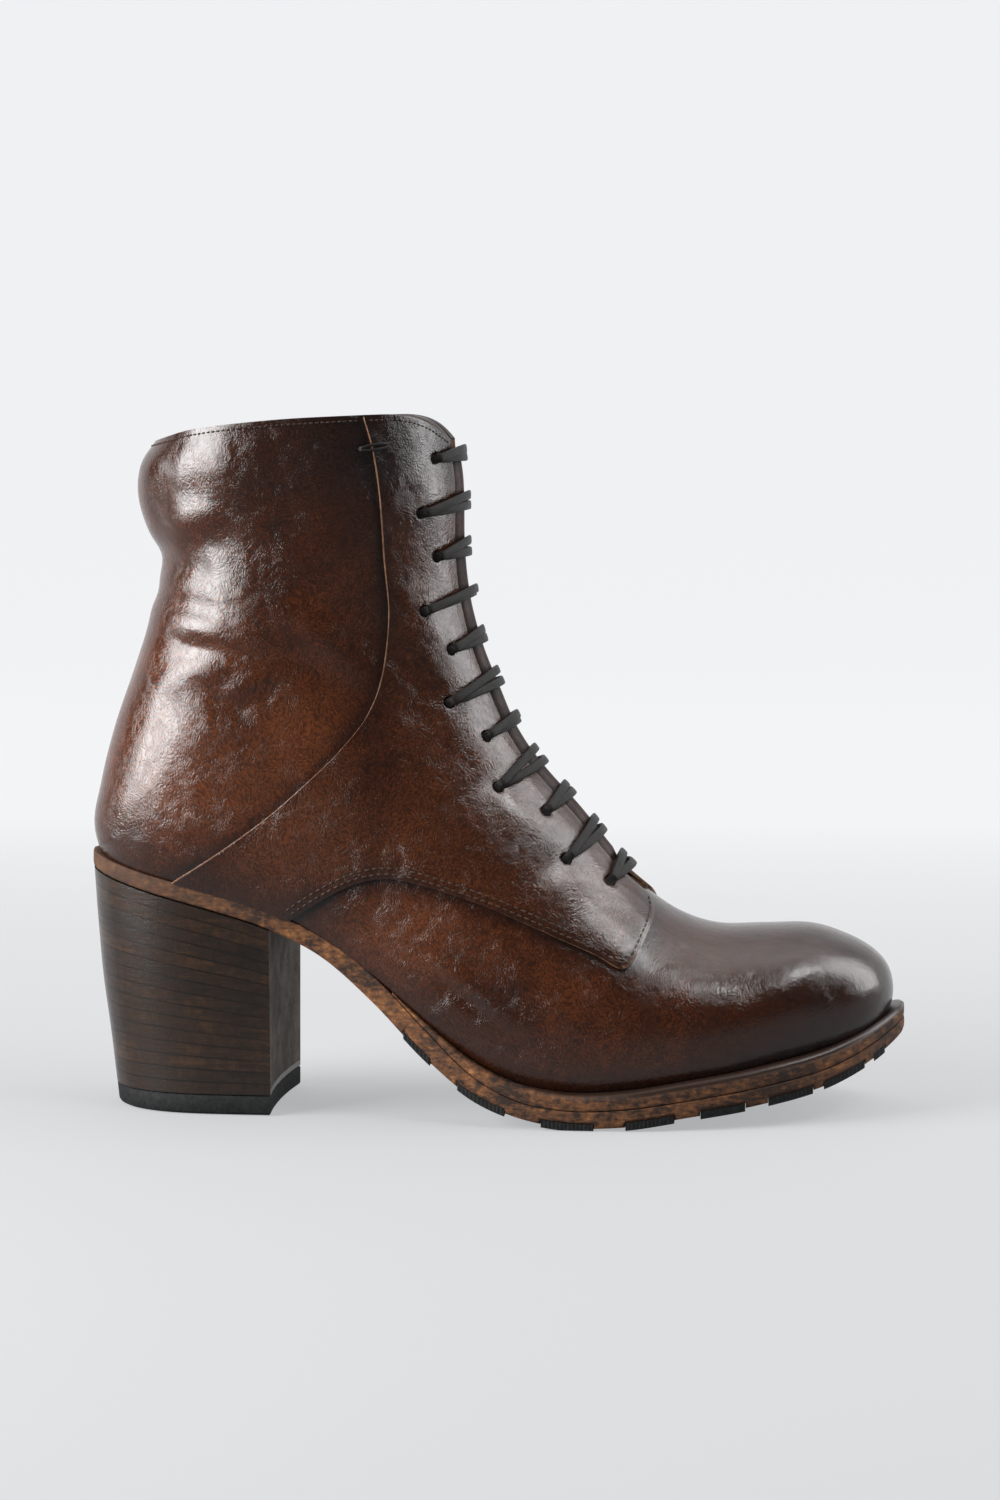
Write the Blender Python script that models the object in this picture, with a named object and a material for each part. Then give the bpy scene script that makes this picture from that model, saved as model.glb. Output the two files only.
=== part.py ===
"""Lace-up ankle boot on a stacked block heel, for the right foot.

The boot points along +X, its outer (lateral) side faces -Y, and the floor is z = 0.
Every curved piece of the upper is worked out from one function, last_point, which reads the
table LAST_SECTIONS: a fan of plane sections that runs from the toe, over the instep and round
the heel, and up the shaft. Tables are in millimetres, and the model is in metres.
"""

import math

import bmesh
import bpy
import numpy as np
from mathutils import Vector

MM = 0.001

# Driving dimensions, in millimetres.
WALL = 2.0  # upper leather with its lining
QUARTER = 1.2  # front quarter laid over the upper
SEAT_GAP = 0.3  # clearance between pieces that touch
THROAT_GAP = 8.0  # from the middle of the throat to a facing's edge
THROAT_FOOT = 68.5  # height of the throat's lower end on the ridge
TONGUE = 1.6
TONGUE_GAP = 0.75  # behind the facings, whose inside is faceted
TONGUE_BULGE = 4.9  # how far the tongue's middle swells out between the facings
TONGUE_HALF_WIDTH = 19.0
TONGUE_TOP = 203.0  # height of its upper end on the ridge
TONGUE_TUCK = 0.03  # how far along the last it runs on under the vamp
INSOLE = 2.4
EYELET_COUNT = 11
EYELET_RADIUS = 1.9
EYELET_SETBACKS = (9.5, 16.5)  # near and far rows, from the facing's edge
LACE_ENDS = (11.0, 1.5)  # lowest and highest crossing, from the throat's foot and the collar
EYELET_RISE = 0.17  # how far an eyelet lies up from its crossing, as a share of its distance
LACE_WIDTH = 3.1
LACE_THICKNESS = 1.5
LACE_SPREAD = 3.2  # how much wider a pair of strands is over the throat
LACE_CLEAR = 1.4  # how much higher it runs over the tongue
LACE_SECTION = (  # across the pair, as shares of its half-width and its thickness
    (-1.0, 0.0), (-0.5, 0.5), (0.0, 0.2), (0.5, 0.5),
    (1.0, 0.0), (0.5, -0.5), (0.0, -0.2), (-0.5, -0.5),
)
RUBBER_DEPTH = 1.5  # how far the tread is let into the outsole
RUBBER_PROUD = 0.9  # how far the tread stands below the outsole
TREAD_CORE = 0.62  # half-width of the tread's core, as a share of the sole's
HEEL_BACK = -127.5
HEEL_BREAST = -66.8  # where the heel's front face meets the sole, on the centre line
BREAST_TURN = math.radians(3.0)  # the heel points a little to the outer side
BREAST_HOLLOW = 1.4

# The last: a row for each section, from the toe's pole to above the collar. A section's plane
# holds its ridge point (top or front), its base point (underside or back) and the Y direction.
# centre, lateral and medial are Y positions and half-widths, widest is the share of the way from
# ridge to base where the section is broadest, and the powers square off its two ends.
LAST_COLUMNS = (
    "ridge_x", "ridge_z", "base_x", "base_z", "centre", "lateral", "medial",
    "widest", "ridge_power", "base_power",
)
LAST_SECTIONS = (
    (120.2, 25.5, 120.2, 25.5, 5.0, 0.0, 0.0, 0.60, 2.0, 2.0),
    (123.8, 34.0, 115.0, 19.5, 4.8, 11.0, 11.0, 0.60, 2.0, 2.2),
    (123.0, 42.5, 109.0, 16.5, 4.3, 19.0, 18.6, 0.60, 2.1, 2.6),
    (118.5, 48.6, 102.5, 14.8, 3.8, 24.4, 24.0, 0.60, 2.2, 3.0),
    (110.0, 53.6, 95.0, 13.0, 3.2, 29.0, 28.8, 0.60, 2.2, 3.0),
    (98.5, 57.1, 84.0, 10.5, 2.5, 33.8, 33.6, 0.60, 2.2, 3.2),
    (84.0, 57.1, 71.0, 7.5, 1.8, 37.8, 37.8, 0.60, 2.1, 3.4),
    (69.5, 57.1, 56.0, 5.0, 1.0, 40.4, 40.4, 0.60, 2.0, 3.5),
    (57.5, 61.0, 40.0, 3.5, 0.0, 41.6, 41.6, 0.61, 1.95, 3.6),
    (46.5, 68.6, 24.0, 2.5, -1.2, 41.0, 41.0, 0.62, 1.9, 3.6),
    (36.4, 78.1, 2.0, 6.5, -2.4, 38.8, 38.4, 0.62, 1.9, 3.6),
    (24.9, 92.3, -20.0, 19.0, -2.4, 36.4, 35.6, 0.60, 1.9, 3.5),
    (12.7, 105.9, -42.0, 37.0, -1.8, 34.4, 33.6, 0.58, 1.9, 3.3),
    (4.4, 117.8, -64.0, 50.0, -1.2, 33.0, 32.4, 0.56, 1.9, 3.1),
    (-1.5, 131.2, -88.0, 58.0, -0.8, 32.6, 32.0, 0.54, 1.9, 3.0),
    (-6.3, 143.1, -108.0, 62.5, -0.5, 32.6, 32.0, 0.52, 1.95, 3.0),
    (-9.7, 155.1, -120.0, 71.0, -0.5, 32.8, 32.2, 0.51, 2.0, 2.8),
    (-11.5, 166.0, -126.6, 86.0, -0.4, 33.0, 32.6, 0.50, 2.0, 2.4),
    (-12.3, 177.0, -124.6, 101.0, -0.4, 33.4, 33.0, 0.50, 2.0, 2.2),
    (-12.4, 187.0, -120.0, 119.0, -0.3, 33.8, 33.4, 0.50, 2.0, 2.1),
    (-12.7, 196.0, -113.3, 138.0, -0.2, 34.4, 34.0, 0.50, 2.0, 2.1),
    (-13.9, 205.0, -107.9, 155.5, 0.0, 35.2, 35.0, 0.50, 2.0, 2.1),
    (-14.5, 214.0, -105.5, 168.0, 0.0, 36.0, 36.0, 0.50, 2.0, 2.1),
    (-14.8, 222.0, -108.2, 179.5, 0.0, 36.8, 36.8, 0.50, 2.0, 2.2),
    (-15.4, 230.0, -111.8, 192.0, 0.0, 37.4, 37.4, 0.50, 2.0, 2.2),
    (-15.4, 238.0, -110.6, 203.5, 0.0, 37.6, 37.6, 0.50, 2.0, 2.2),
    (-15.4, 246.0, -107.5, 214.0, 0.0, 37.6, 37.6, 0.50, 2.0, 2.2),
)
LAST_STEPS = 31  # rings along the last
LAST_SIDES = 26  # points round a ring

# Sole: its outline from above, and its layers from the side.
SOLE_COLUMNS = ("x", "lateral", "medial")
SOLE_OUTLINE = (
    (-127.5, 0.0, 0.0),
    (-126.5, -6.8, 6.4),
    (-123.4, -13.6, 13.0),
    (-117.5, -20.2, 19.6),
    (-108.0, -25.4, 24.4),
    (-96.0, -28.2, 26.6),
    (-82.0, -29.2, 26.8),
    (-66.0, -29.6, 25.2),
    (-50.0, -30.2, 23.2),
    (-34.0, -32.4, 23.0),
    (-18.0, -36.0, 26.0),
    (-2.0, -40.4, 31.6),
    (14.0, -43.4, 37.6),
    (30.0, -44.5, 42.0),
    (46.0, -44.0, 44.4),
    (62.0, -41.8, 44.0),
    (78.0, -37.8, 41.7),
    (92.0, -32.6, 38.0),
    (105.0, -25.6, 32.6),
    (115.0, -17.6, 26.2),
    (122.0, -9.2, 18.8),
    (126.2, -2.0, 12.0),
    (127.5, 5.0, 5.0),
)
LAYER_COLUMNS = ("x", "top", "seam", "bottom")
SOLE_LAYERS = (
    (-127.5, 80.0, 80.0, 74.8),
    (-108.0, 74.8, 74.8, 69.4),
    (-88.0, 69.9, 69.9, 64.3),
    (-68.0, 63.8, 63.8, 58.0),
    (-52.0, 56.2, 56.2, 49.8),
    (-36.0, 44.8, 44.8, 36.2),
    (-20.0, 31.4, 29.0, 20.2),
    (-6.0, 20.2, 16.0, 9.3),
    (8.0, 13.4, 8.6, 3.5),
    (22.0, 10.9, 6.0, 0.9),
    (40.0, 11.4, 6.3, 0.9),
    (60.0, 14.4, 8.9, 3.7),
    (84.0, 18.5, 12.7, 7.3),
    (106.0, 23.6, 17.8, 12.7),
    (120.0, 29.4, 24.0, 19.3),
    (127.5, 33.4, 28.4, 24.2),
)
WELT_START = -30.0  # where the welt runs out to nothing at the waist
WELT_ROUND = 1.1  # its rounded upper edge
LUG_COLUMNS = ("start", "end")  # along X, where each rubber lug reaches the sole's edge
LUGS = (
    (-26.5, -18.2),
    (-9.6, 5.0),
    (16.2, 32.2),
    (41.9, 56.6),
    (64.5, 78.0),
    (85.0, 98.6),
    (102.0, 114.6),
    (117.6, 121.0),
)

# Collar's edge from the side, from the back to the front.
COLLAR_COLUMNS = ("x", "z")
COLLAR_EDGE = (
    (-140.0, 203.0),
    (-107.5, 208.6),
    (-88.0, 211.7),
    (-66.0, 214.0),
    (-38.0, 215.6),
    (-28.0, 215.5),
    (-21.5, 213.4),
    (-16.5, 209.4),
    (-13.0, 205.0),
    (-4.0, 190.0),
)

# Front quarter's edges from the side. The rear edge runs from the collar down to the sole behind
# the heel's breast, and the lower edge from the waist over to the tab's corner and up its front.
QUARTER_COLUMNS = ("x", "z")
QUARTER_REAR_EDGE = (
    (-40.0, 228.0),
    (-38.7, 216.2),
    (-35.9, 205.0),
    (-34.0, 190.0),
    (-33.0, 172.0),
    (-31.8, 154.0),
    (-33.1, 138.0),
    (-37.5, 125.0),
    (-45.8, 114.0),
    (-54.9, 105.0),
    (-67.2, 94.1),
    (-81.3, 83.7),
    (-96.5, 73.8),
    (-110.0, 65.0),
)
QUARTER_LOWER_EDGE = (
    (-72.0, 48.0),
    (-63.5, 59.5),
    (-54.6, 66.1),
    (-42.7, 72.6),
    (-32.0, 75.0),
    (-21.1, 73.3),
    (-2.8, 67.4),
    (9.4, 62.4),
    (21.6, 56.9),
    (32.2, 52.2),
    (39.6, 48.2),
    (43.2, 49.4),
    (46.5, 55.4),
    (49.0, 62.0),
    (47.6, 66.6),
    (45.2, 70.0),
    (50.0, 82.0),
)

# Heel: a row for each level on the way down from the seat to the lift.
HEEL_COLUMNS = ("share_down", "back_x", "width_share")
HEEL_LEVELS = (
    (0.00, -127.3, 1.000),
    (0.25, -126.2, 0.990),
    (0.50, -124.8, 0.975),
    (0.75, -122.6, 0.960),
    (1.00, -120.7, 0.950),
)
LIFT_COLUMNS = ("z", "back_x", "width_share")
LIFT_LEVELS = (
    (6.0, -120.6, 0.950),
    (0.8, -120.0, 0.945),
    (0.0, -119.2, 0.920),
)

FINISHES = {
    "upper_leather": ((0.105, 0.040, 0.020), 0.42),
    "quarter_leather": ((0.115, 0.045, 0.024), 0.42),
    "tongue_leather": ((0.050, 0.024, 0.014), 0.55),
    "insole_leather": ((0.300, 0.190, 0.110), 0.70),
    "sole_leather": ((0.190, 0.085, 0.035), 0.75),
    "heel_leather": ((0.060, 0.034, 0.022), 0.60),
    "rubber": ((0.012, 0.013, 0.014), 0.80),
    "lace": ((0.030, 0.024, 0.020), 0.65),
}


def smooth(places, values, at):
    """A smooth curve through values at rising places, read at one or more points."""
    places = np.asarray(places, float)
    values = np.asarray(values, float)
    slopes = np.gradient(values, places, axis=0)
    at = np.clip(np.asarray(at, float), places[0], places[-1])
    low = np.clip(np.searchsorted(places, at, side="right") - 1, 0, len(places) - 2)
    span = places[low + 1] - places[low]
    t = (at - places[low]) / span
    if values.ndim > 1:
        t = t[..., None]
        span = span[..., None]
    rise = values[low + 1] - values[low]
    start = slopes[low] * span
    end = slopes[low + 1] * span
    return values[low] + t * (start + t * (3 * rise - 2 * start - end + t * (start + end - 2 * rise)))


def through(table, count):
    """Points on a smooth curve through a table's rows."""
    rows = np.array(table)
    return smooth(np.arange(len(rows)), rows, np.linspace(0, len(rows) - 1, count))


def last_section(place):
    """The last's section at a place from 0, the toe's pole, to 1, above the collar."""
    rows = np.array(LAST_SECTIONS)
    row = smooth(np.arange(len(rows)), rows, np.array(place) * (len(rows) - 1))
    return dict(zip(LAST_COLUMNS, row))


def last_point(place, angle):
    """A point of the last's surface. The angle is 0 on the ridge and positive on the medial side."""
    s = last_section(place)
    sine = abs(math.sin(angle))
    cosine = math.cos(angle)
    if cosine >= 0:
        across = sine ** (2 / s["ridge_power"])
        along = s["widest"] * (1 - cosine ** (2 / s["ridge_power"]))
    else:
        across = sine ** (2 / s["base_power"])
        along = s["widest"] + (1 - s["widest"]) * (-cosine) ** (2 / s["base_power"])
    half = s["medial"] if angle > 0 else s["lateral"]
    x = s["ridge_x"] + along * (s["base_x"] - s["ridge_x"])
    z = s["ridge_z"] + along * (s["base_z"] - s["ridge_z"])
    return Vector((x, s["centre"] + math.copysign(half * across, angle), z))


def last_normal(place, angle):
    """The outward unit normal of the last's surface."""
    step = 0.004
    turn = 0.05
    along = last_point(min(place + step, 1), angle) - last_point(place - step, angle)
    around = last_point(place, angle + turn) - last_point(place, angle - turn)
    return around.cross(along).normalized()


def ridge_lengths():
    """Places along the last, with the ridge's length from the throat's foot to each of them."""
    places = np.linspace(throat_foot(), 1, 300)
    points = np.array([last_point(p, 0.0) for p in places])
    steps = np.linalg.norm(np.diff(points, axis=0), axis=1)
    return places, np.concatenate([[0], np.cumsum(steps)])


def place_at_height(z):
    """The place where the ridge over the instep and up the shaft has this height."""
    places = np.linspace(0.3, 1, 300)
    return float(np.interp(z, [last_section(p)["ridge_z"] for p in places], places))


def throat_foot():
    return place_at_height(THROAT_FOOT)


def angle_at(place, distance):
    """The angle where the surface is this far from the ridge, measured round the section."""
    angles = np.linspace(0, 0.6 * math.pi, 120)
    points = np.array([last_point(place, a) for a in angles])
    lengths = np.concatenate([[0], np.cumsum(np.linalg.norm(np.diff(points, axis=0), axis=1))])
    return float(np.interp(distance, lengths, angles))


def lace_levels():
    """A row for each lace bar: its place on the ridge, its eyelets' place, and their distance from it."""
    places, lengths = ridge_lengths()
    collar = np.interp(place_at_height(COLLAR_EDGE[-2][1]), places, lengths)
    crossings = np.linspace(LACE_ENDS[0], collar - LACE_ENDS[1], EYELET_COUNT)
    distances = np.array([THROAT_GAP + EYELET_SETBACKS[k % 2] for k in range(EYELET_COUNT)])
    rises = EYELET_RISE * (distances - distances.min() / 2)
    return list(zip(
        np.interp(crossings, lengths, places), np.interp(crossings + rises, lengths, places), distances,
    ))


def sole_line(column, x):
    """A sole layer's height at x."""
    rows = np.array(SOLE_LAYERS)
    return smooth(rows[:, 0], rows[:, LAYER_COLUMNS.index(column)], x)


def welt_depth(x):
    return float(sole_line("top", x) - sole_line("seam", x))


def sole_edges(inset=0.0, count=38, start=None):
    """Lateral and medial points of the sole's outline from heel to toe, moved in by an inset.

    With a start, only the stations in front of that x are kept, and the first one lies on it.
    """
    rows = through(SOLE_OUTLINE, count)
    loop = np.vstack([rows[:, [0, 1]], rows[-2:0:-1, [0, 2]]])
    tangent = np.roll(loop, -1, axis=0) - np.roll(loop, 1, axis=0)
    tangent /= np.linalg.norm(tangent, axis=1)[:, None]
    loop = loop - inset * np.column_stack([tangent[:, 1], -tangent[:, 0]])
    lateral = loop[:count]
    medial = np.vstack([loop[:1], loop[:count - 1:-1], loop[count - 1:count]])
    if start is None:
        return lateral, medial
    kept = []
    for edge in (lateral, medial):
        front = edge[rows[:, 0] > start + 2]
        kept.append(np.vstack([[start, np.interp(start, *edge.T)], front]))
    return kept


def sole_width(x):
    """Lateral and medial edge of the sole at x."""
    lateral, medial = sole_edges(count=160)
    return np.interp(x, *lateral.T), np.interp(x, *medial.T)


def clear_scene():
    for obj in list(bpy.data.objects):
        bpy.data.objects.remove(obj, do_unlink=True)


def collection(name):
    made = bpy.data.collections.new(name)
    bpy.context.scene.collection.children.link(made)
    return made


def material(name):
    """A plain leather, rubber or cord finish."""
    made = bpy.data.materials.get(name)
    if made is None:
        colour, roughness = FINISHES[name]
        made = bpy.data.materials.new(name)
        made.use_nodes = True
        shader = made.node_tree.nodes["Principled BSDF"]
        shader.inputs["Base Color"].default_value = (*colour, 1.0)
        shader.inputs["Roughness"].default_value = roughness
        shader.inputs["Metallic"].default_value = 0.0
    return made


def add_object(name, bm, finish=None):
    """An object in metres from a bmesh in millimetres. It is a cutter where it has no finish."""
    bmesh.ops.remove_doubles(bm, verts=bm.verts[:], dist=0.01)
    bmesh.ops.dissolve_degenerate(bm, edges=bm.edges[:], dist=0.001)
    bmesh.ops.recalc_face_normals(bm, faces=bm.faces[:])
    bmesh.ops.scale(bm, vec=(MM, MM, MM), verts=bm.verts[:])
    mesh = bpy.data.meshes.new(name)
    bm.to_mesh(mesh)
    bm.free()
    obj = bpy.data.objects.new(name, mesh)
    if finish:
        mesh.materials.append(material(finish))
        PARTS.objects.link(obj)
    else:
        CUTTERS.objects.link(obj)
        obj.hide_render = True
        obj.display_type = "WIRE"
    return obj


def boolean(obj, operation, *others):
    for other in others:
        modifier = obj.modifiers.new(f"{operation} {other.name}".lower(), "BOOLEAN")
        modifier.operation = operation
        modifier.object = other
        modifier.solver = "EXACT"


def grid(points):
    """A bmesh grid laid through a table of points, rows by columns."""
    bm = bmesh.new()
    columns = len(points[0])
    bmesh.ops.create_grid(bm, x_segments=columns - 1, y_segments=len(points) - 1, size=1)
    bm.verts.ensure_lookup_table()
    for r, row in enumerate(points):
        for c, point in enumerate(row):
            bm.verts[r * columns + c].co = point
    return bm


def stacked(levels):
    """A solid through levels, which are tables of points: the first one's grid, extruded to each next."""
    bm = grid(levels[0])
    bmesh.ops.remove_doubles(bm, verts=bm.verts[:], dist=0.01)
    bmesh.ops.dissolve_degenerate(bm, edges=bm.edges[:], dist=0.001)
    near = {tuple(round(c, 1) for c in v.co): v for v in bm.verts}
    order = [near[tuple(round(c, 1) for c in p)] for row in levels[0] for p in row]
    faces = bm.faces[:]
    for index, level in enumerate(levels[1:]):
        made = bmesh.ops.extrude_face_region(bm, geom=faces)["geom"]
        fresh = {tuple(v.co): v for v in made if isinstance(v, bmesh.types.BMVert)}
        order = [fresh[tuple(v.co)] for v in order]
        if index:
            bmesh.ops.delete(bm, geom=faces, context="FACES")
        faces = [f for f in made if isinstance(f, bmesh.types.BMFace)]
        for vertex, point in zip(order, [p for row in level for p in row]):
            vertex.co = point
    return bm


def swept(rings):
    """A solid through rings of points, filled in at both ends."""
    bm = grid([list(ring) + [ring[0]] for ring in rings])
    bmesh.ops.remove_doubles(bm, verts=bm.verts[:], dist=0.01)
    bmesh.ops.dissolve_degenerate(bm, edges=bm.edges[:], dist=0.001)
    bmesh.ops.holes_fill(bm, edges=[e for e in bm.edges if e.is_boundary], sides=0)
    bmesh.ops.recalc_face_normals(bm, faces=bm.faces[:])
    return bm


def last_form(name, offset, finish=None):
    """The closed last swollen by an offset, filled in above the collar."""
    angles = [math.pi * (2 * c / LAST_SIDES - 1) for c in range(LAST_SIDES)]
    places = np.linspace(0, 1, LAST_STEPS + 1)
    bm = swept([[last_point(p, a) for a in angles] for p in places])
    bmesh.ops.triangulate(bm, faces=bm.faces[:], quad_method="FIXED")
    bm.normal_update()
    for vertex, move in [(v, v.normal * offset) for v in bm.verts]:
        vertex.co += move
    return add_object(name, bm, finish)


def side_prism(name, outline, reach=(-90.0, 90.0)):
    """A cutter with an outline in the side view, from one y to another."""
    bm = bmesh.new()
    face = bm.faces.new([bm.verts.new((x, reach[0], z)) for x, z in outline])
    made = bmesh.ops.extrude_face_region(bm, geom=[face])["geom"]
    moved = [g for g in made if isinstance(g, bmesh.types.BMVert)]
    bmesh.ops.translate(bm, vec=(0, reach[1] - reach[0], 0), verts=moved)
    return add_object(name, bm)


def sole_block(name, clearance):
    """A cutter that fills everything under the sole's top, raised by a clearance."""
    top = [(x, float(sole_line("top", x)) + clearance) for x in np.linspace(-127.5, 127.5, 60)]
    outline = [(-170, top[0][1]), *top, (170, top[-1][1]), (170, -60), (-170, -60)]
    return side_prism(name, outline)


def collar_block(name):
    """A cutter that fills everything over the collar's edge."""
    edge = [tuple(p) for p in through(COLLAR_EDGE, 28)]
    return side_prism(name, [*edge, (edge[-1][0], 300), (edge[0][0], 300)])


def quarter_block(name):
    """A cutter with the front quarter's outline."""
    rear = [tuple(p) for p in through(QUARTER_REAR_EDGE, 24)]
    lower = [tuple(p) for p in through(QUARTER_LOWER_EDGE, 30)]
    return side_prism(name, [*rear, *lower, (70, 110), (40, 250), (-20, 260)])


def throat_block(name, half_gap, foot):
    """A cutter along the ridge that opens the throat from its foot to above the collar."""
    inside, outside = -9.0, 12.0
    levels = []
    for depth in (outside, inside):
        level = []
        for place in np.linspace(place_at_height(foot), 1, 26):
            middle = last_point(place, 0.0) + last_normal(place, 0.0) * depth
            level.append([middle + Vector((0, side * half_gap, 0)) for side in (-1, 1)])
        levels.append(level)
    return add_object(name, stacked(levels))


def eyelet_punches(name):
    """A cutter with a short round bar through each eyelet."""
    bm = bmesh.new()
    for _, place, distance in lace_levels():
        for side in (-1, 1):
            angle = side * angle_at(place, distance)
            normal = last_normal(place, angle)
            turn = normal.to_track_quat("Z", "Y").to_matrix().to_4x4()
            turn.translation = last_point(place, angle)
            bmesh.ops.create_cone(
                bm, cap_ends=True, segments=6, radius1=EYELET_RADIUS, radius2=EYELET_RADIUS,
                depth=14, matrix=turn,
            )
    return add_object(name, bm)


def slab(levels, start=None):
    """A layer of the sole: each level has a height, which is a function of x, and an inset."""
    tables = []
    for height, inset in levels:
        edges = sole_edges(inset, start=start)
        tables.append([[Vector((x, y, float(height(x)))) for x, y in edge] for edge in edges])
    return stacked(tables)


def cross_bar(start, end, share, grow, levels):
    """Part of the tread over a stretch of x, with a share of the sole's width, grown all round."""
    stations = np.linspace(start - grow, end + grow, max(3, round((end - start) / 7)))
    tables = []
    for height in levels:
        table = []
        for edge in (0, 1):
            row = []
            for x in stations:
                lateral, medial = sole_width(x)
                middle, half = (lateral + medial) / 2, (medial - lateral) / 2 * share + grow
                row.append(Vector((x, middle + (2 * edge - 1) * half, float(height(x)))))
            table.append(row)
        tables.append(table)
    return stacked(tables)


def tread_form(grow):
    """The tread's core and its bars as two meshes, grown all round to cut its bed."""

    def top(x):
        return sole_line("bottom", x) + RUBBER_DEPTH + grow

    def bottom(x):
        return max(0.0, float(sole_line("bottom", x)) - RUBBER_PROUD) - 12 * grow

    core = cross_bar(LUGS[0][0] + 3, LUGS[-1][1] - 2, TREAD_CORE, grow, (top, bottom))
    bars = bmesh.new()
    for start, end in LUGS:
        bar = cross_bar(start, end, 1.0, grow, (top, bottom))
        mesh = bpy.data.meshes.new("bar")
        bar.to_mesh(mesh)
        bar.free()
        bars.from_mesh(mesh)
        bpy.data.meshes.remove(mesh)
    return core, bars


def heel_solid(levels):
    """The heel between levels of height, back end and width, with a hollow breast turned a little."""
    xs = np.array([0.0, 0.015, 0.05, 0.1, 0.17, 0.26, 0.4, 0.6, 0.8, 1.0])
    shares = np.linspace(-1, 1, 5)
    tables = []
    for height, back, width_share in levels:
        table = []
        for share in shares:
            row = []
            for t in xs:
                top_x = HEEL_BACK + (HEEL_BREAST - HEEL_BACK) * t
                lateral, medial = sole_width(top_x)
                middle, half = (lateral + medial) / 2, (medial - lateral) / 2 * width_share
                y = middle + share * half
                breast = HEEL_BREAST + y * math.tan(BREAST_TURN) - BREAST_HOLLOW * (1 - share * share)
                x = back + (breast - back) * t
                row.append(Vector((x, y, float(height(x)))))
            table.append(row)
        tables.append(table)
    return stacked(tables)


def heel_stack():
    """The stacked leather heel: its levels tilt from the seat's slope at the top to flat at the lift."""
    lift_top = LIFT_LEVELS[0][0] + SEAT_GAP

    def level(share_down):
        def height(x):
            seat = float(sole_line("bottom", x)) - SEAT_GAP
            return seat + share_down * (lift_top - seat)

        return height

    bm = heel_solid([(level(down), back, width) for down, back, width in HEEL_LEVELS])
    return add_object("heel_stack", bm, "heel_leather")


def heel_lift():
    bm = heel_solid([(lambda x, z=z: z, back, width) for z, back, width in LIFT_LEVELS])
    return add_object("heel_lift", bm, "rubber")


def tongue():
    """A strip inside the last, from below the throat's foot to the collar, that swells in the middle."""
    top = place_at_height(TONGUE_TOP)
    foot = throat_foot() + 0.005
    places = [foot - TONGUE_TUCK, foot - TONGUE_TUCK / 2, *np.linspace(foot, top, 13)]
    shares = np.array([-1, -0.7, -0.39, -0.26, -0.13, 0, 0.13, 0.26, 0.39, 0.7, 1])
    tables = []
    for depth in (0.0, TONGUE):
        table = []
        for place in places:
            open_share = min(1.0, max(0.0, (place - foot) / 0.04))
            row = []
            for share in shares:
                distance = share * TONGUE_HALF_WIDTH
                angle = math.copysign(angle_at(place, abs(distance)), share)
                swell = max(0.0, 1 - (distance / (THROAT_GAP - 0.6)) ** 2)
                offset = TONGUE_BULGE * swell * open_share - WALL - TONGUE_GAP - depth
                row.append(last_point(place, angle) + last_normal(place, angle) * offset)
            table.append(row)
        tables.append(table)
    return add_object("tongue", stacked(tables), "tongue_leather")


def insole(inside):
    """A slab on the sole, cut to the inside of the upper."""
    base = 2 * SEAT_GAP
    bm = slab([
        (lambda x: sole_line("top", x) + base + INSOLE, 1.0),
        (lambda x: sole_line("top", x) + base, 1.0),
    ])
    made = add_object("insole", bm, "insole_leather")
    boolean(made, "INTERSECT", inside)
    return made


def lace_bar(number, crossing, eyelet, distance):
    """Two strands side by side over the throat at one level, joined at both eyelets."""
    lift = SEAT_GAP + QUARTER + SEAT_GAP + LACE_THICKNESS / 2
    rings = []
    for share in np.linspace(-1, 1, 7):
        middle = 1 - share * share
        place = crossing + (eyelet - crossing) * (1 - middle)
        angle = math.copysign(angle_at(place, abs(share) * distance), share)
        normal = last_normal(place, angle)
        along = (last_point(place + 0.004, angle) - last_point(place - 0.004, angle)).normalized()
        centre = last_point(place, angle) + normal * (lift + LACE_CLEAR * middle)
        half = (LACE_WIDTH + LACE_SPREAD * middle) / 2
        rings.append([
            centre + along * (width * half) + normal * (height * LACE_THICKNESS)
            for width, height in LACE_SECTION
        ])
    return add_object(f"lace_bar_{number:02d}", swept(rings), "lace")


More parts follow.
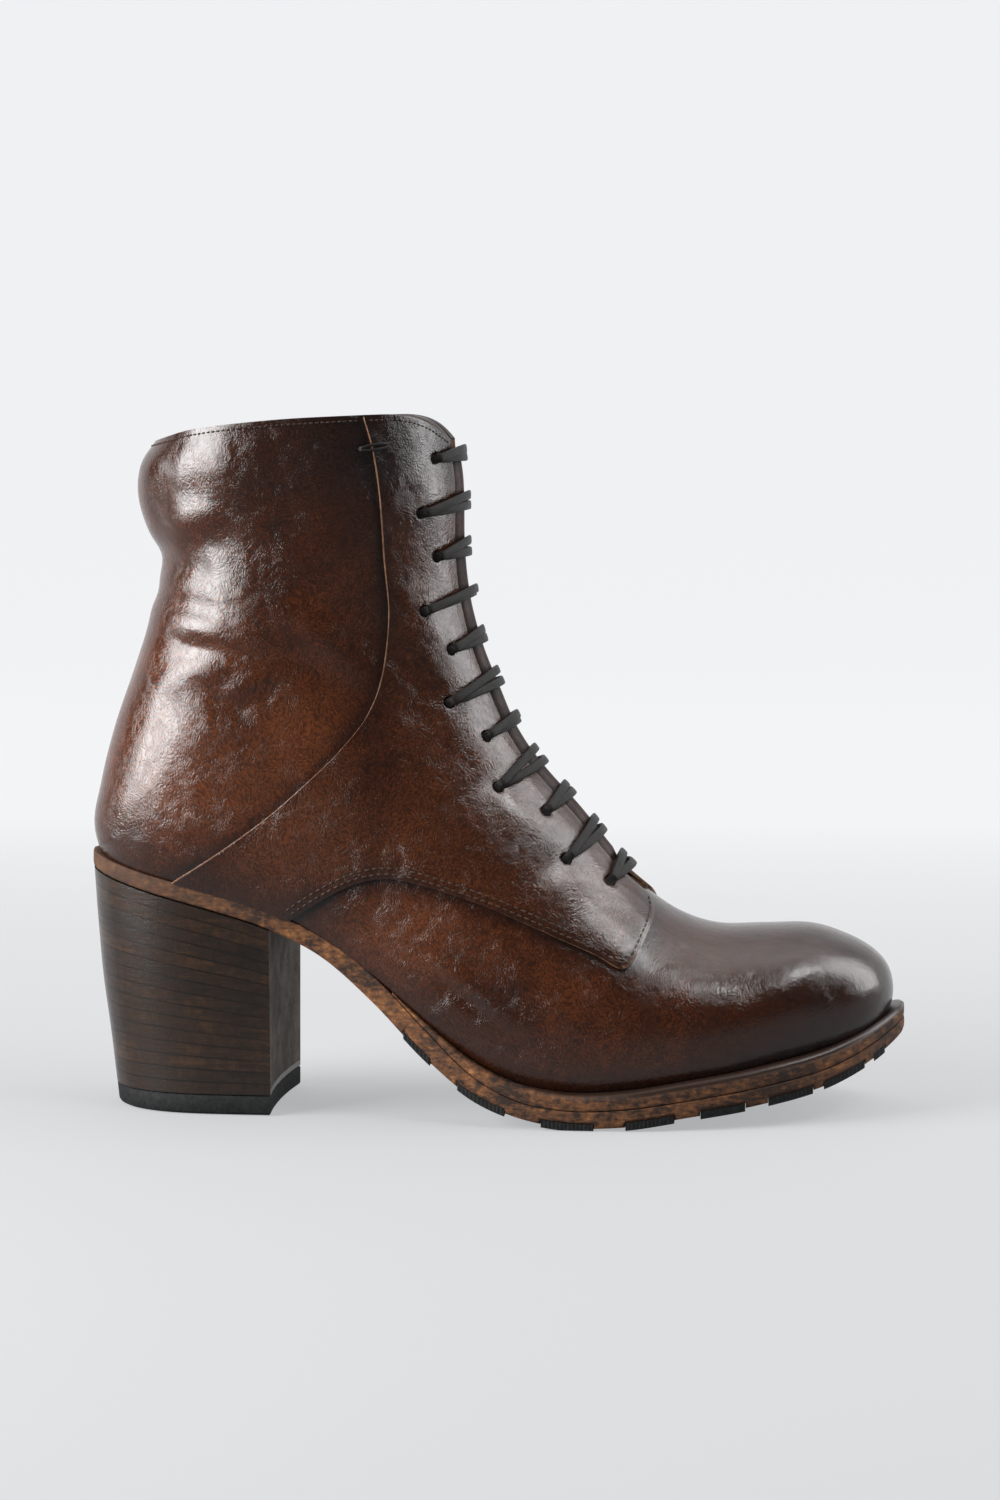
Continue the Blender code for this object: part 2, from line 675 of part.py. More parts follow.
def main():
    outside = last_form("last_outside", 0.0)
    inside = last_form("last_inside", -WALL)
    inside_clear = last_form("last_inside_clear", -WALL - SEAT_GAP)
    under = last_form("last_under_quarter", SEAT_GAP)
    sole_cut = sole_block("under_sole_top", SEAT_GAP)
    collar_cut = collar_block("over_collar")
    throat_cut = throat_block("throat", THROAT_GAP, THROAT_FOOT)
    long_throat_cut = throat_block("long_throat", THROAT_GAP, THROAT_FOOT - 9)
    punches = eyelet_punches("eyelet_punches")

    upper = last_form("upper", 0.0, "upper_leather")
    boolean(upper, "DIFFERENCE", inside, sole_cut, collar_cut, throat_cut, punches)

    outline = quarter_block("quarter_outline")
    for side, reach in (("lateral", (-90.0, 0.0)), ("medial", (0.0, 90.0))):
        half = side_prism(f"{side}_half", ((-200, -60), (200, -60), (200, 320), (-200, 320)), reach)
        quarter = last_form(f"quarter_{side}", SEAT_GAP + QUARTER, "quarter_leather")
        boolean(quarter, "INTERSECT", half, outline)
        boolean(quarter, "DIFFERENCE", under, sole_cut, collar_cut, long_throat_cut, punches)

    tongue()
    insole(inside_clear)

    add_object("welt", slab([
        (lambda x: sole_line("top", x), WELT_ROUND),
        (lambda x: sole_line("top", x) - min(WELT_ROUND, 0.3 * welt_depth(x)), 0.0),
        (lambda x: sole_line("seam", x) + SEAT_GAP / 2, 0.0),
    ], start=WELT_START), "sole_leather")
    outsole = add_object("outsole", slab([
        (lambda x: sole_line("seam", x) - SEAT_GAP / 2, 0.0),
        (lambda x: sole_line("bottom", x), 0.4),
    ]), "sole_leather")
    core, bars = tread_form(0.0)
    tread = add_object("tread", core, "rubber")
    boolean(tread, "UNION", add_object("tread_bars", bars))
    bed_core, bed_bars = tread_form(SEAT_GAP)
    boolean(outsole, "DIFFERENCE", add_object("bed_core", bed_core), add_object("bed_bars", bed_bars))
    heel_stack()
    heel_lift()

    for number, level in enumerate(lace_levels(), 1):
        lace_bar(number, *level)


clear_scene()
PARTS = collection("lace_up_boot")
CUTTERS = collection("cutters")
main()
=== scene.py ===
"""Looks of a lace-up ankle boot on a stacked block heel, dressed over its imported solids.

The boot points along +X, its outer (lateral) side faces -Y, and the floor is z = 0. Tables and
sizes are in millimetres, meshes are in metres. The upper, its quarters, the tongue, the lace and
the stitches all lie on one form, the last, which is a fan of plane sections.
"""

import logging
import math
from collections.abc import Callable
from dataclasses import dataclass, field
from enum import Enum
from functools import partial

import bmesh
import bpy
import numpy as np
from bmesh.types import BMesh, BMFace, BMVert
from bpy.types import BevelModifier, Material, Node, NodeTree, Object
from bpy.types import NodeSocket as Socket
from mathutils import Euler, Matrix, Vector
from mathutils.bvhtree import BVHTree


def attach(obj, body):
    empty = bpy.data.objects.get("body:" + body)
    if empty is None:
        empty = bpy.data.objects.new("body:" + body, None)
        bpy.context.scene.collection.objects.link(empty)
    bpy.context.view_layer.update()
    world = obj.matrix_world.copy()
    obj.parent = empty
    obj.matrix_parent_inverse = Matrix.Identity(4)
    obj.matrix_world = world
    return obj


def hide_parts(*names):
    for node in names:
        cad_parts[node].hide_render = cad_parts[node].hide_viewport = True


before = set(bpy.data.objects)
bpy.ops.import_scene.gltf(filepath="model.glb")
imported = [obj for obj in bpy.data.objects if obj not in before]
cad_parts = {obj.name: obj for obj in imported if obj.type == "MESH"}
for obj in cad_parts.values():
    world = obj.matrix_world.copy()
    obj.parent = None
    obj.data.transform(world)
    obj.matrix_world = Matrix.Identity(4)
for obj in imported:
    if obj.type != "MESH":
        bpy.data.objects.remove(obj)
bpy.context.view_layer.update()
LOG = logging.getLogger("boot")
BODY = "root"
MM = 0.001
TINY = 1e-9
# How close points are merged, in millimetres: of a piece, a strand and an open sheet's halves.
MERGE, MERGE_STRAND, MERGE_SHEET = 0.004, 0.002, 0.02
SLIVER = 0.001
# How many millimetres of the last one unit of place stands for.
STRETCH = 400.0
# How sharp an edge of a sheet or of a block has to be to get rounded, in degrees.
SHEET_ANGLE, BLOCK_ANGLE = 55.0, 50.0

Array = np.ndarray
ArrayPair = tuple[Array, Array]
Pair = tuple[float, float]
Range = tuple[float, float, int]
Triple = tuple[float, float, float]
Colour = Triple
Value = Socket | float | tuple

# The last: a row for each section, from the toe's pole to above the collar: ridge x and z, base x
# and z, centre, lateral and medial half-widths, share of the way from ridge to base where it is
# widest, and the powers that square off its upper and its lower end.
LAST_SECTIONS = (
    (120.2, 25.5, 120.2, 25.5, 5, 0, 0, 0.6, 2, 2),
    (123.8, 34, 115, 19.5, 4.8, 11, 11, 0.6, 2, 2.2),
    (123, 42.5, 109, 16.5, 4.3, 19, 18.6, 0.6, 2.1, 2.6),
    (118.5, 48.6, 102.5, 14.8, 3.8, 24.4, 24, 0.6, 2.2, 3),
    (110, 53.6, 95, 13, 3.2, 29, 28.8, 0.6, 2.2, 3),
    (98.5, 57.1, 84, 10.5, 2.5, 33.8, 33.6, 0.6, 2.2, 3.2),
    (84, 57.1, 71, 7.5, 1.8, 37.8, 37.8, 0.6, 2.1, 3.4),
    (69.5, 57.1, 56, 5, 1, 40.4, 40.4, 0.6, 2, 3.5),
    (57.5, 61, 40, 3.5, 0, 41.6, 41.6, 0.61, 1.95, 3.6),
    (46.5, 68.6, 24, 2.5, -1.2, 41, 41, 0.62, 1.9, 3.6),
    (36.4, 78.1, 2, 6.5, -2.4, 38.8, 38.4, 0.62, 1.9, 3.6),
    (24.9, 92.3, -20, 19, -2.4, 36.4, 35.6, 0.6, 1.9, 3.5),
    (12.7, 105.9, -42, 37, -1.8, 34.4, 33.6, 0.58, 1.9, 3.3),
    (4.4, 117.8, -64, 50, -1.2, 33, 32.4, 0.56, 1.9, 3.1),
    (-1.5, 131.2, -88, 58, -0.8, 32.6, 32, 0.54, 1.9, 3),
    (-6.3, 143.1, -108, 62.5, -0.5, 32.6, 32, 0.52, 1.95, 3),
    (-9.7, 155.1, -120, 71, -0.5, 32.8, 32.2, 0.51, 2, 2.8),
    (-11.5, 166, -126.6, 86, -0.4, 33, 32.6, 0.5, 2, 2.4),
    (-12.3, 177, -124.6, 101, -0.4, 33.4, 33, 0.5, 2, 2.2),
    (-12.4, 187, -120, 119, -0.3, 33.8, 33.4, 0.5, 2, 2.1),
    (-12.7, 196, -113.3, 138, -0.2, 34.4, 34, 0.5, 2, 2.1),
    (-13.9, 205, -107.9, 155.5, 0, 35.2, 35, 0.5, 2, 2.1),
    (-14.5, 214, -105.5, 168, 0, 36, 36, 0.5, 2, 2.1),
    (-14.8, 222, -108.2, 179.5, 0, 36.8, 36.8, 0.5, 2, 2.2),
    (-15.4, 230, -111.8, 192, 0, 37.4, 37.4, 0.5, 2, 2.2),
    (-15.4, 238, -110.6, 203.5, 0, 37.6, 37.6, 0.5, 2, 2.2),
    (-15.4, 246, -107.5, 214, 0, 37.6, 37.6, 0.5, 2, 2.2),
)
# The sole from above: x, lateral and medial edge.
SOLE_OUTLINE = (
    (-127.5, 0, 0), (-126.5, -6.8, 6.4), (-123.4, -13.6, 13), (-117.5, -20.2, 19.6),
    (-108, -25.4, 24.4), (-96, -28.2, 26.6), (-82, -29.2, 26.8), (-66, -29.6, 25.2),
    (-50, -30.2, 23.2), (-34, -32.4, 23), (-18, -36, 26), (-2, -40.4, 31.6),
    (14, -43.4, 37.6), (30, -44.5, 42), (46, -44, 44.4), (62, -41.8, 44),
    (78, -37.8, 41.7), (92, -32.6, 38), (105, -25.6, 32.6), (115, -17.6, 26.2),
    (122, -9.2, 18.8), (126.2, -2, 12), (127.5, 5, 5),
)
# The sole from the side: x, then the heights of its top, of the seam under the welt and its bottom.
SOLE_LAYERS = (
    (-127.5, 80, 80, 74.8), (-108, 74.8, 74.8, 69.4), (-88, 69.9, 69.9, 64.3),
    (-68, 63.8, 63.8, 58), (-52, 56.2, 56.2, 49.8), (-36, 44.8, 44.8, 36.2),
    (-20, 31.4, 29, 20.2), (-6, 20.2, 16, 9.3), (8, 13.4, 8.6, 3.5),
    (22, 10.9, 6, 0.9), (40, 11.4, 6.3, 0.9), (60, 14.4, 8.9, 3.7),
    (84, 18.5, 12.7, 7.3), (106, 23.6, 17.8, 12.7), (120, 29.4, 24, 19.3),
    (127.5, 33.4, 28.4, 24.2),
)
# Where each rubber lug starts and ends along x.
LUGS = (
    (-26.5, -18.2), (-9.6, 5), (16.2, 32.2), (41.9, 56.6),
    (64.5, 78), (85, 98.6), (102, 114.6), (117.6, 121),
)
# The collar's edge from the side: x and z.
COLLAR_EDGE = (
    (-140, 203), (-107.5, 208.6), (-88, 211.7), (-66, 214), (-38, 215.6),
    (-28, 215.5), (-21.5, 213.4), (-16.5, 209.4), (-13, 205), (-4, 190),
)
# The front quarter's rear and lower edges from the side: x and z.
QUARTER_REAR_EDGE = (
    (-40, 228), (-38.7, 216.2), (-35.9, 205), (-34, 190), (-33, 172),
    (-31.8, 154), (-33.1, 138), (-37.5, 125), (-45.8, 114), (-54.9, 105),
    (-67.2, 94.1), (-81.3, 83.7), (-96.5, 73.8), (-110, 65),
)
QUARTER_LOWER_EDGE = (
    (-72, 48), (-63.5, 59.5), (-54.6, 66.1), (-42.7, 72.6), (-32, 75), (-21.1, 73.3),
    (-2.8, 67.4), (9.4, 62.4), (21.6, 56.9), (32.2, 52.2), (39.6, 48.2), (43.2, 49.4),
    (46.5, 55.4), (49, 62), (47.6, 66.6), (45.2, 70), (50, 82),
)
# Folds of the leather: side, x, z, turn in degrees, half-length, half-width, and how far the
# leather stands out (a ridge) or in (a trough).
FOLDS = (
    (0, -110, 209.5, 0, 17, 6, -3.2),
    (0, -104, 172, -14, 22, 4.2, -1.2),
    (0, -103, 183, -8, 18, 8, 0.9),
    (-1, -101, 190, 84, 16, 4, -0.9),
    (-1, -90, 184, 10, 9, 5, 1),
    (-1, -80, 176, -24, 12, 6, -0.7),
    (-1, -80, 196, 82, 14, 8, 0.7),
    (-1, -62, 186, 84, 24, 9, -0.7),
    (-1, -95, 158, -12, 14, 3.6, -1.3),
    (-1, -86, 151, -14, 18, 4.2, 1.2),
    (-1, -84, 143.5, -6, 17, 3.4, -1.2),
    (-1, -92, 137, 24, 14, 4.2, 0.9),
    (-1, -74, 134, 30, 7, 2.2, 0.7),
    (-1, -70, 130, 30, 8, 2.2, -0.7),
    (-1, -82, 129, -30, 10, 2.8, -0.7),
    (-1, -60, 152, -30, 16, 6, 0.5),
    (-1, -48, 146, -44, 14, 4.5, 1),
    (-1, -54, 139, -40, 14, 5, -0.7),
    (-1, -22, 150, -60, 16, 6, 0.8),
    (-1, -27, 140, -50, 12, 4, -0.7),
    (-1, -24, 128, -46, 16, 6, -0.7),
    (-1, -13, 120, -48, 10, 4.5, 0.7),
    (-1, 0, 104, 40, 9, 4.5, -0.6),
    (-1, 8, 93, -44, 10, 5, 0.6),
    (-1, 17, 78, 42, 9, 4, -0.6),
    (-1, -7, 39, -38, 9, 2.6, -1.2),
    (-1, -10, 44.5, -34, 10, 3.4, 0.8),
    (-1, 6, 33, -20, 12, 4, 0.6),
    (-1, 62, 40, -10, 14, 7, 0.7),
    (-1, 78, 44, 40, 10, 5, -0.5),
    (-1, 88, 53.5, 5, 17, 3.2, -0.8),
    (-1, 38, 36, 60, 12, 6, -0.5),
    (1, -101, 190, 84, 16, 4, -0.8),
    (1, -90, 152, -14, 18, 4.5, 1),
    (1, -86, 144, -6, 17, 3.8, -1.1),
    (1, -64, 144, -22, 16, 5, -0.7),
    (1, -80, 188, 80, 24, 8, -0.7),
    (1, -60, 190, 84, 24, 9, 0.6),
    (1, -20, 128, -44, 16, 6, -0.6),
    (1, -4, 40, -36, 10, 3, -0.9),
    (1, 40, 36, 58, 12, 6, -0.5),
)


class Side(Enum):
    """The boot's two sides, by the sign of Y."""

    LATERAL = -1
    MEDIAL = 1


class Layer(Enum):
    """Columns of the sole's layer table."""

    TOP = 1
    SEAM = 2
    BOTTOM = 3


def smooth(places: Array, values: Array, at: Array) -> Array:
    """Reads a smooth curve through values at rising places.

    Args:
        places: Rising places along the curve.
        values: One value or one row of values for each place.
        at: Where the curve is read.

    Returns:
        The curve's values there.
    """
    places = np.asarray(places, float)
    values = np.asarray(values, float)
    slopes = np.gradient(values, places, axis=0)
    at = np.clip(np.asarray(at, float), places[0], places[-1])
    low = np.clip(np.searchsorted(places, at, side="right") - 1, 0, len(places) - 2)
    span = places[low + 1] - places[low]
    t = (at - places[low]) / span
    if values.ndim > 1:
        t, span = t[..., None], span[..., None]
    rise = values[low + 1] - values[low]
    start, end = slopes[low] * span, slopes[low + 1] * span
    bend = 3 * rise - 2 * start - end + t * (start + end - 2 * rise)
    return values[low] + t * (start + t * bend)


def through(table: tuple, count: int) -> Array:
    """Points on a smooth curve through a table's rows."""
    rows = np.array(table)
    return smooth(np.arange(len(rows)), rows, np.linspace(0, len(rows) - 1, count))


def run_lengths(line: Array) -> Array:
    """How far each point of a line is from its start, along the line."""
    steps = np.linalg.norm(np.diff(line, axis=0), axis=1)
    return np.concatenate([[0], np.cumsum(steps)])


def resample(line: Array, count: int) -> Array:
    """Sets points at even distances along a line.

    Args:
        line: The line's points.
        count: How many points there are to be, ends included.

    Returns:
        The new points.
    """
    lengths = run_lengths(line)
    at = np.linspace(0, lengths[-1], count)
    return np.column_stack([np.interp(at, lengths, column) for column in line.T])


def unit(vectors: Array) -> Array:
    """Vectors at length one."""
    return vectors / np.maximum(np.linalg.norm(vectors, axis=-1, keepdims=True), TINY)


def step(low: float, high: float, values: Array) -> Array:
    """A soft step from 0 at low to 1 at high."""
    t = np.clip((values - low) / (high - low), 0, 1)
    return t * t * (3 - 2 * t)


def distance_to(line: Array, points: Array) -> Array:
    """Measures how far points are from a line's own points, in the side view.

    Args:
        line: The line's points, as x and z.
        points: The points, as x, y and z.

    Returns:
        A distance for each point.
    """
    flat = points.reshape(-1, points.shape[-1])[:, [0, -1]]
    gaps = np.linalg.norm(flat[:, None, :] - line[None, :, :], axis=2)
    return gaps.min(axis=1).reshape(points.shape[:-1])


@dataclass(frozen=True)
class SoleLines:
    """The sole's outline from above and its layers from the side."""

    outline: tuple = SOLE_OUTLINE
    layers: tuple = SOLE_LAYERS
    welt_start: float = -30.0
    start_gap: float = 1.0
    edge_points: int = 220
    fine_points: int = 700

    def height(self, layer: Layer, x: Array) -> Array:
        """A layer's height at x."""
        rows = np.array(self.layers)
        return smooth(rows[:, 0], rows[:, layer.value], x)

    def edges(
        self, inset: float = 0.0, count: int | None = None, start: float | None = None,
    ) -> list[Array]:
        """The outline's lateral and medial points from heel to toe.

        Args:
            inset: How far they are moved in.
            count: How many points each edge has, if not the usual number.
            start: Where the edges begin, if not at the heel's back.

        Returns:
            The lateral and the medial points.
        """
        count = count or self.edge_points
        rows = through(self.outline, count)
        loop = np.vstack([rows[:, [0, 1]], rows[-2:0:-1, [0, 2]]])
        tangent = unit(np.roll(loop, -1, axis=0) - np.roll(loop, 1, axis=0))
        loop = loop - inset * np.column_stack([tangent[:, 1], -tangent[:, 0]])
        medial = np.vstack([loop[:1], loop[: count - 1 : -1], loop[count - 1 : count]])
        pair = [loop[:count], medial]
        if start is not None:
            for index, edge in enumerate(pair):
                front = edge[rows[:, 0] > start + self.start_gap]
                pair[index] = np.vstack([[start, np.interp(start, *edge.T)], front])
        return pair

    def width(self, x: Array) -> ArrayPair:
        """The lateral and the medial edge at x."""
        lateral, medial = self.edges(count=self.fine_points)
        return np.interp(x, *lateral.T), np.interp(x, *medial.T)


@dataclass(frozen=True)
class Relief:
    """Soft folds that wear has left in the leather."""

    folds: tuple = FOLDS
    side_blend: float = 7.0

    def height(self, points: Array) -> Array:
        """Adds up the folds.

        Args:
            points: Points of the last.

        Returns:
            How far the leather stands out at each of them.
        """
        total = np.zeros(points.shape[:-1])
        for side, x, z, turn, length, width, depth in self.folds:
            right, up = points[..., 0] - x, points[..., 2] - z
            cosine, sine = math.cos(math.radians(turn)), math.sin(math.radians(turn))
            along, across = right * cosine + up * sine, up * cosine - right * sine
            share = 1.0
            if side:
                share = 0.5 * (1 + np.tanh(side * points[..., 1] / self.side_blend))
            total += share * depth * np.exp(-((along / length) ** 2) - (across / width) ** 2)
        return total


@dataclass(frozen=True)
class Last:
    """The form that the upper is drawn over.

    A place runs from 0 at the toe's pole to 1 above the collar. A distance is measured round a
    section from its ridge, and a side is -1 or 1.
    """

    sections: tuple = LAST_SECTIONS
    sole: SoleLines = field(default_factory=SoleLines)
    relief: Relief = field(default_factory=Relief)
    samples: int = 161
    chunk: int = 4000
    share_steps: int = 500
    ridge_steps: int = 300
    probe_place: float = 0.004
    probe_angle: float = 0.04
    overshoot: float = 1.05
    # Where places are searched: from, to and in how many steps.
    all_over: Range = (0.02, 1.0, 1600)
    instep: Range = (0.3, 1.0, 400)

    def section(self, place: Array) -> Array:
        """The section table's columns at places, column first."""
        rows = np.array(self.sections)
        found = smooth(np.arange(len(rows)), rows, np.asarray(place) * (len(rows) - 1))
        return np.moveaxis(found, -1, 0)

    def turns(self) -> Array:
        """Even angles from a section's ridge to its base."""
        return np.linspace(0, math.pi, self.samples)

    def points(self, place: Array, angle: Array) -> Array:
        """Points of the surface.

        Args:
            place: Places along the last.
            angle: Angles round the sections, 0 on the ridge and positive on the medial side.

        Returns:
            The points.
        """
        ridge_x, ridge_z, base_x, base_z, centre, *rest = self.section(place)
        lateral, medial, widest, upper, lower = rest
        angle = (np.asarray(angle) + math.pi) % (2 * math.pi) - math.pi
        sine, cosine = np.abs(np.sin(angle)), np.cos(angle)
        power = 2 / np.where(cosine >= 0, upper, lower)
        reach = np.abs(cosine) ** power
        along = np.where(cosine >= 0, widest * (1 - reach), widest + (1 - widest) * reach)
        half = np.where(angle > 0, medial, lateral)
        return np.stack([
            ridge_x + along * (base_x - ridge_x),
            centre + np.sign(angle) * half * sine**power,
            ridge_z + along * (base_z - ridge_z),
        ], axis=-1)

    def normals(self, place: Array, angle: Array) -> Array:
        """Outward unit normals.

        Args:
            place: Places along the last.
            angle: Angles round the sections.

        Returns:
            The normals.
        """
        ahead = self.points(np.minimum(place + self.probe_place, 1), angle)
        behind = self.points(np.maximum(place - self.probe_place, 0), angle)
        left = self.points(place, angle - self.probe_angle)
        right = self.points(place, angle + self.probe_angle)
        return unit(np.cross(right - left, ahead - behind))

    def arcs(self, place: Array, side: int) -> Array:
        """Distances from the ridge at even angles.

        Args:
            place: Places along the last.
            side: -1 or 1.

        Returns:
            A row of distances for each place.
        """
        fine = np.maximum(self.turns(), TINY)
        points = self.points(np.asarray(place)[:, None], side * fine[None, :])
        steps = np.linalg.norm(np.diff(points, axis=1), axis=2)
        return np.concatenate([np.zeros((len(points), 1)), np.cumsum(steps, axis=1)], axis=1)

    def angles(self, place: Array, distance: Array, side: int) -> Array:
        """Signed angles where the surface is so far from the ridge.

        Args:
            place: Places along the last.
            distance: Distances from the ridge.
            side: -1 or 1.

        Returns:
            The angles.
        """
        place, distance = np.broadcast_arrays(place, distance)
        found = []
        wanted = np.maximum(distance.ravel(), 0)
        parts = max(1, wanted.size // self.chunk)
        for part in np.array_split(np.arange(wanted.size), parts):
            lengths, d = self.arcs(place.ravel()[part], side), wanted[part][:, None]
            index = np.clip((lengths < d).sum(axis=1), 1, self.samples - 1)[:, None]
            before = np.take_along_axis(lengths, index - 1, axis=1)
            after = np.take_along_axis(lengths, index, axis=1)
            share = np.clip((d - before) / np.maximum(after - before, TINY), 0, 1)
            found.append(((index - 1 + share) * math.pi / (self.samples - 1)).ravel())
        return side * np.maximum(np.concatenate(found), TINY).reshape(place.shape)

    def surface(self, place: Array, distance: Array, offset: Array, side: int) -> Array:
        """Points over the creased leather.

        Args:
            place: Places along the last.
            distance: Distances from the ridge.
            offset: Heights over the last.
            side: -1 or 1.

        Returns:
            The points.
        """
        place, distance = np.broadcast_arrays(np.asarray(place, float), np.asarray(distance, float))
        angle = self.angles(place, distance, side)
        base = self.points(place, angle)
        height = self.relief.height(base) + offset
        return base + self.normals(place, angle) * height[..., None]

    def share_angle(self, place: Array, share: Array) -> Array:
        """The angle at a share of the way from ridge to base in the side view.

        Args:
            place: Places along the last.
            share: A share for each place.

        Returns:
            The angles.
        """
        widest, upper_power, lower_power = self.section(place)[7:]
        upper = np.clip(1 - share / widest, 0, 1) ** (upper_power / 2)
        lower = np.clip((share - widest) / (1 - widest), 0, 1) ** (lower_power / 2)
        return np.arccos(np.where(share <= widest, upper, -lower))

    def feather(self, place: Array, clearance: float) -> Array:
        """The angle where each section comes down to the sole's top.

        Args:
            place: Places along the last.
            clearance: How far above the sole's top that is.

        Returns:
            The angles, which are pi where a section stays above the sole.
        """
        shares = np.linspace(0, 1, self.share_steps)
        ridge_x, ridge_z, base_x, base_z = self.section(place)[:4, :, None]
        gap = ridge_z + shares * (base_z - ridge_z) - clearance
        gap = gap - self.sole.height(Layer.TOP, ridge_x + shares * (base_x - ridge_x))
        below = gap < 0
        index = np.clip(np.argmax(below, axis=1), 1, len(shares) - 1)[:, None]
        before = np.take_along_axis(gap, index - 1, 1)
        after = np.take_along_axis(gap, index, 1)
        part = np.clip(before / (before - after), 0, 1)
        share = ((index - 1 + part) / (len(shares) - 1)).ravel()
        return np.where(below.any(axis=1), self.share_angle(place, share), math.pi)

    def locate(self, x: float, z: float, side: int) -> Pair:
        """Finds a point that is given in the side view.

        Args:
            x: Its x.
            z: Its z.
            side: -1 or 1.

        Returns:
            Its place and its distance from the ridge.
        """
        places = np.linspace(*self.all_over)
        ridge_x, ridge_z, base_x, base_z = self.section(places)[:4]
        run, fall = base_x - ridge_x, base_z - ridge_z
        across = (x - ridge_x) * fall - (z - ridge_z) * run
        share = ((x - ridge_x) * run + (z - ridge_z) * fall) / (run**2 + fall**2)
        cross = np.nonzero((across[:-1] * across[1:] <= 0) & (share[:-1] < self.overshoot))[0]
        k = int(cross[np.argmin(np.abs(share[cross] - np.clip(share[cross], 0, 1)))])
        t = across[k] / (across[k] - across[k + 1])
        place = np.array([places[k] + t * (places[k + 1] - places[k])])
        found = np.array([share[k] + t * (share[k + 1] - share[k])])
        angle = self.share_angle(place, np.clip(found, 0, 1))
        return float(place[0]), float(np.interp(angle[0], self.turns(), self.arcs(place, side)[0]))

    def ridge_place(self, z: float) -> float:
        """The place where the ridge over the instep and up the shaft has this height."""
        places = np.linspace(*self.instep)
        return float(np.interp(z, self.section(places)[1], places))

    def ridge_lengths(self, start: float) -> ArrayPair:
        """Places from a start on, with the ridge's length from it to each of them."""
        places = np.linspace(start, 1, self.ridge_steps)
        return places, run_lengths(self.points(places, np.zeros(self.ridge_steps)))


@dataclass(frozen=True)
class Throat:
    """The opening at the front with its rows of eyelets, as the solids have it."""

    last: Last
    half_gap: float = 8.0
    foot: float = 68.5
    count: int = 11
    eyelet_radius: float = 1.9
    setbacks: Pair = (9.5, 16.5)
    ends: Pair = (11.0, 1.5)
    rise: float = 0.17
    collar_height: float = 205.0

    def levels(self) -> list[Triple]:
        """Spaces the lace's levels evenly along the ridge.

        Returns:
            For each level its crossing's place, its eyelets' place and their distance from the
            ridge.
        """
        places, lengths = self.last.ridge_lengths(self.last.ridge_place(self.foot))
        collar = np.interp(self.last.ridge_place(self.collar_height), places, lengths)
        crossings = np.linspace(self.ends[0], collar - self.ends[1], self.count)
        distances = np.array([self.half_gap + self.setbacks[k % 2] for k in range(self.count)])
        rises = self.rise * (distances - distances.min() / 2)
        crossing_places = np.interp(crossings, lengths, places)
        eyelet_places = np.interp(crossings + rises, lengths, places)
        return list(zip(crossing_places, eyelet_places, distances))

    def eyelets(self, side: int) -> ArrayPair:
        """The eyelets of one side.

        Args:
            side: -1 or 1.

        Returns:
            Their middles on the last and the last's normals there.
        """
        _, place, distance = (np.array(c) for c in zip(*self.levels()))
        angle = self.last.angles(place, distance, side)
        return self.last.points(place, angle), self.last.normals(place, angle)


@dataclass(frozen=True)
class CollarLine:
    """The collar's edge, seen from the side."""

    last: Last
    edge: tuple = COLLAR_EDGE
    edge_points: int = 300
    reach: Pair = (0.72, 1.0)
    rounds: int = 26

    def height(self, x: Array) -> Array:
        """The edge's height at x."""
        return np.interp(x, *through(self.edge, self.edge_points).T)

    def places(self, distance: Array | Callable, count: int, side: int, drop: float = 0.0) -> Array:
        """The place on each of several lines up the shaft where it meets the collar.

        Args:
            distance: The lines' distances from the ridge, or what gives them at a place each.
            count: How many lines there are.
            side: -1 or 1.
            drop: How far below the edge.

        Returns:
            The places.
        """
        low, high = (np.full(count, end) for end in self.reach)
        for _ in range(self.rounds):
            middle = (low + high) / 2
            here = distance(middle) if callable(distance) else distance
            at = self.last.points(middle, self.last.angles(middle, here, side))
            over = at[:, 2] > self.height(at[:, 0]) - drop
            low, high = np.where(over, low, middle), np.where(over, middle, high)
        return (low + high) / 2


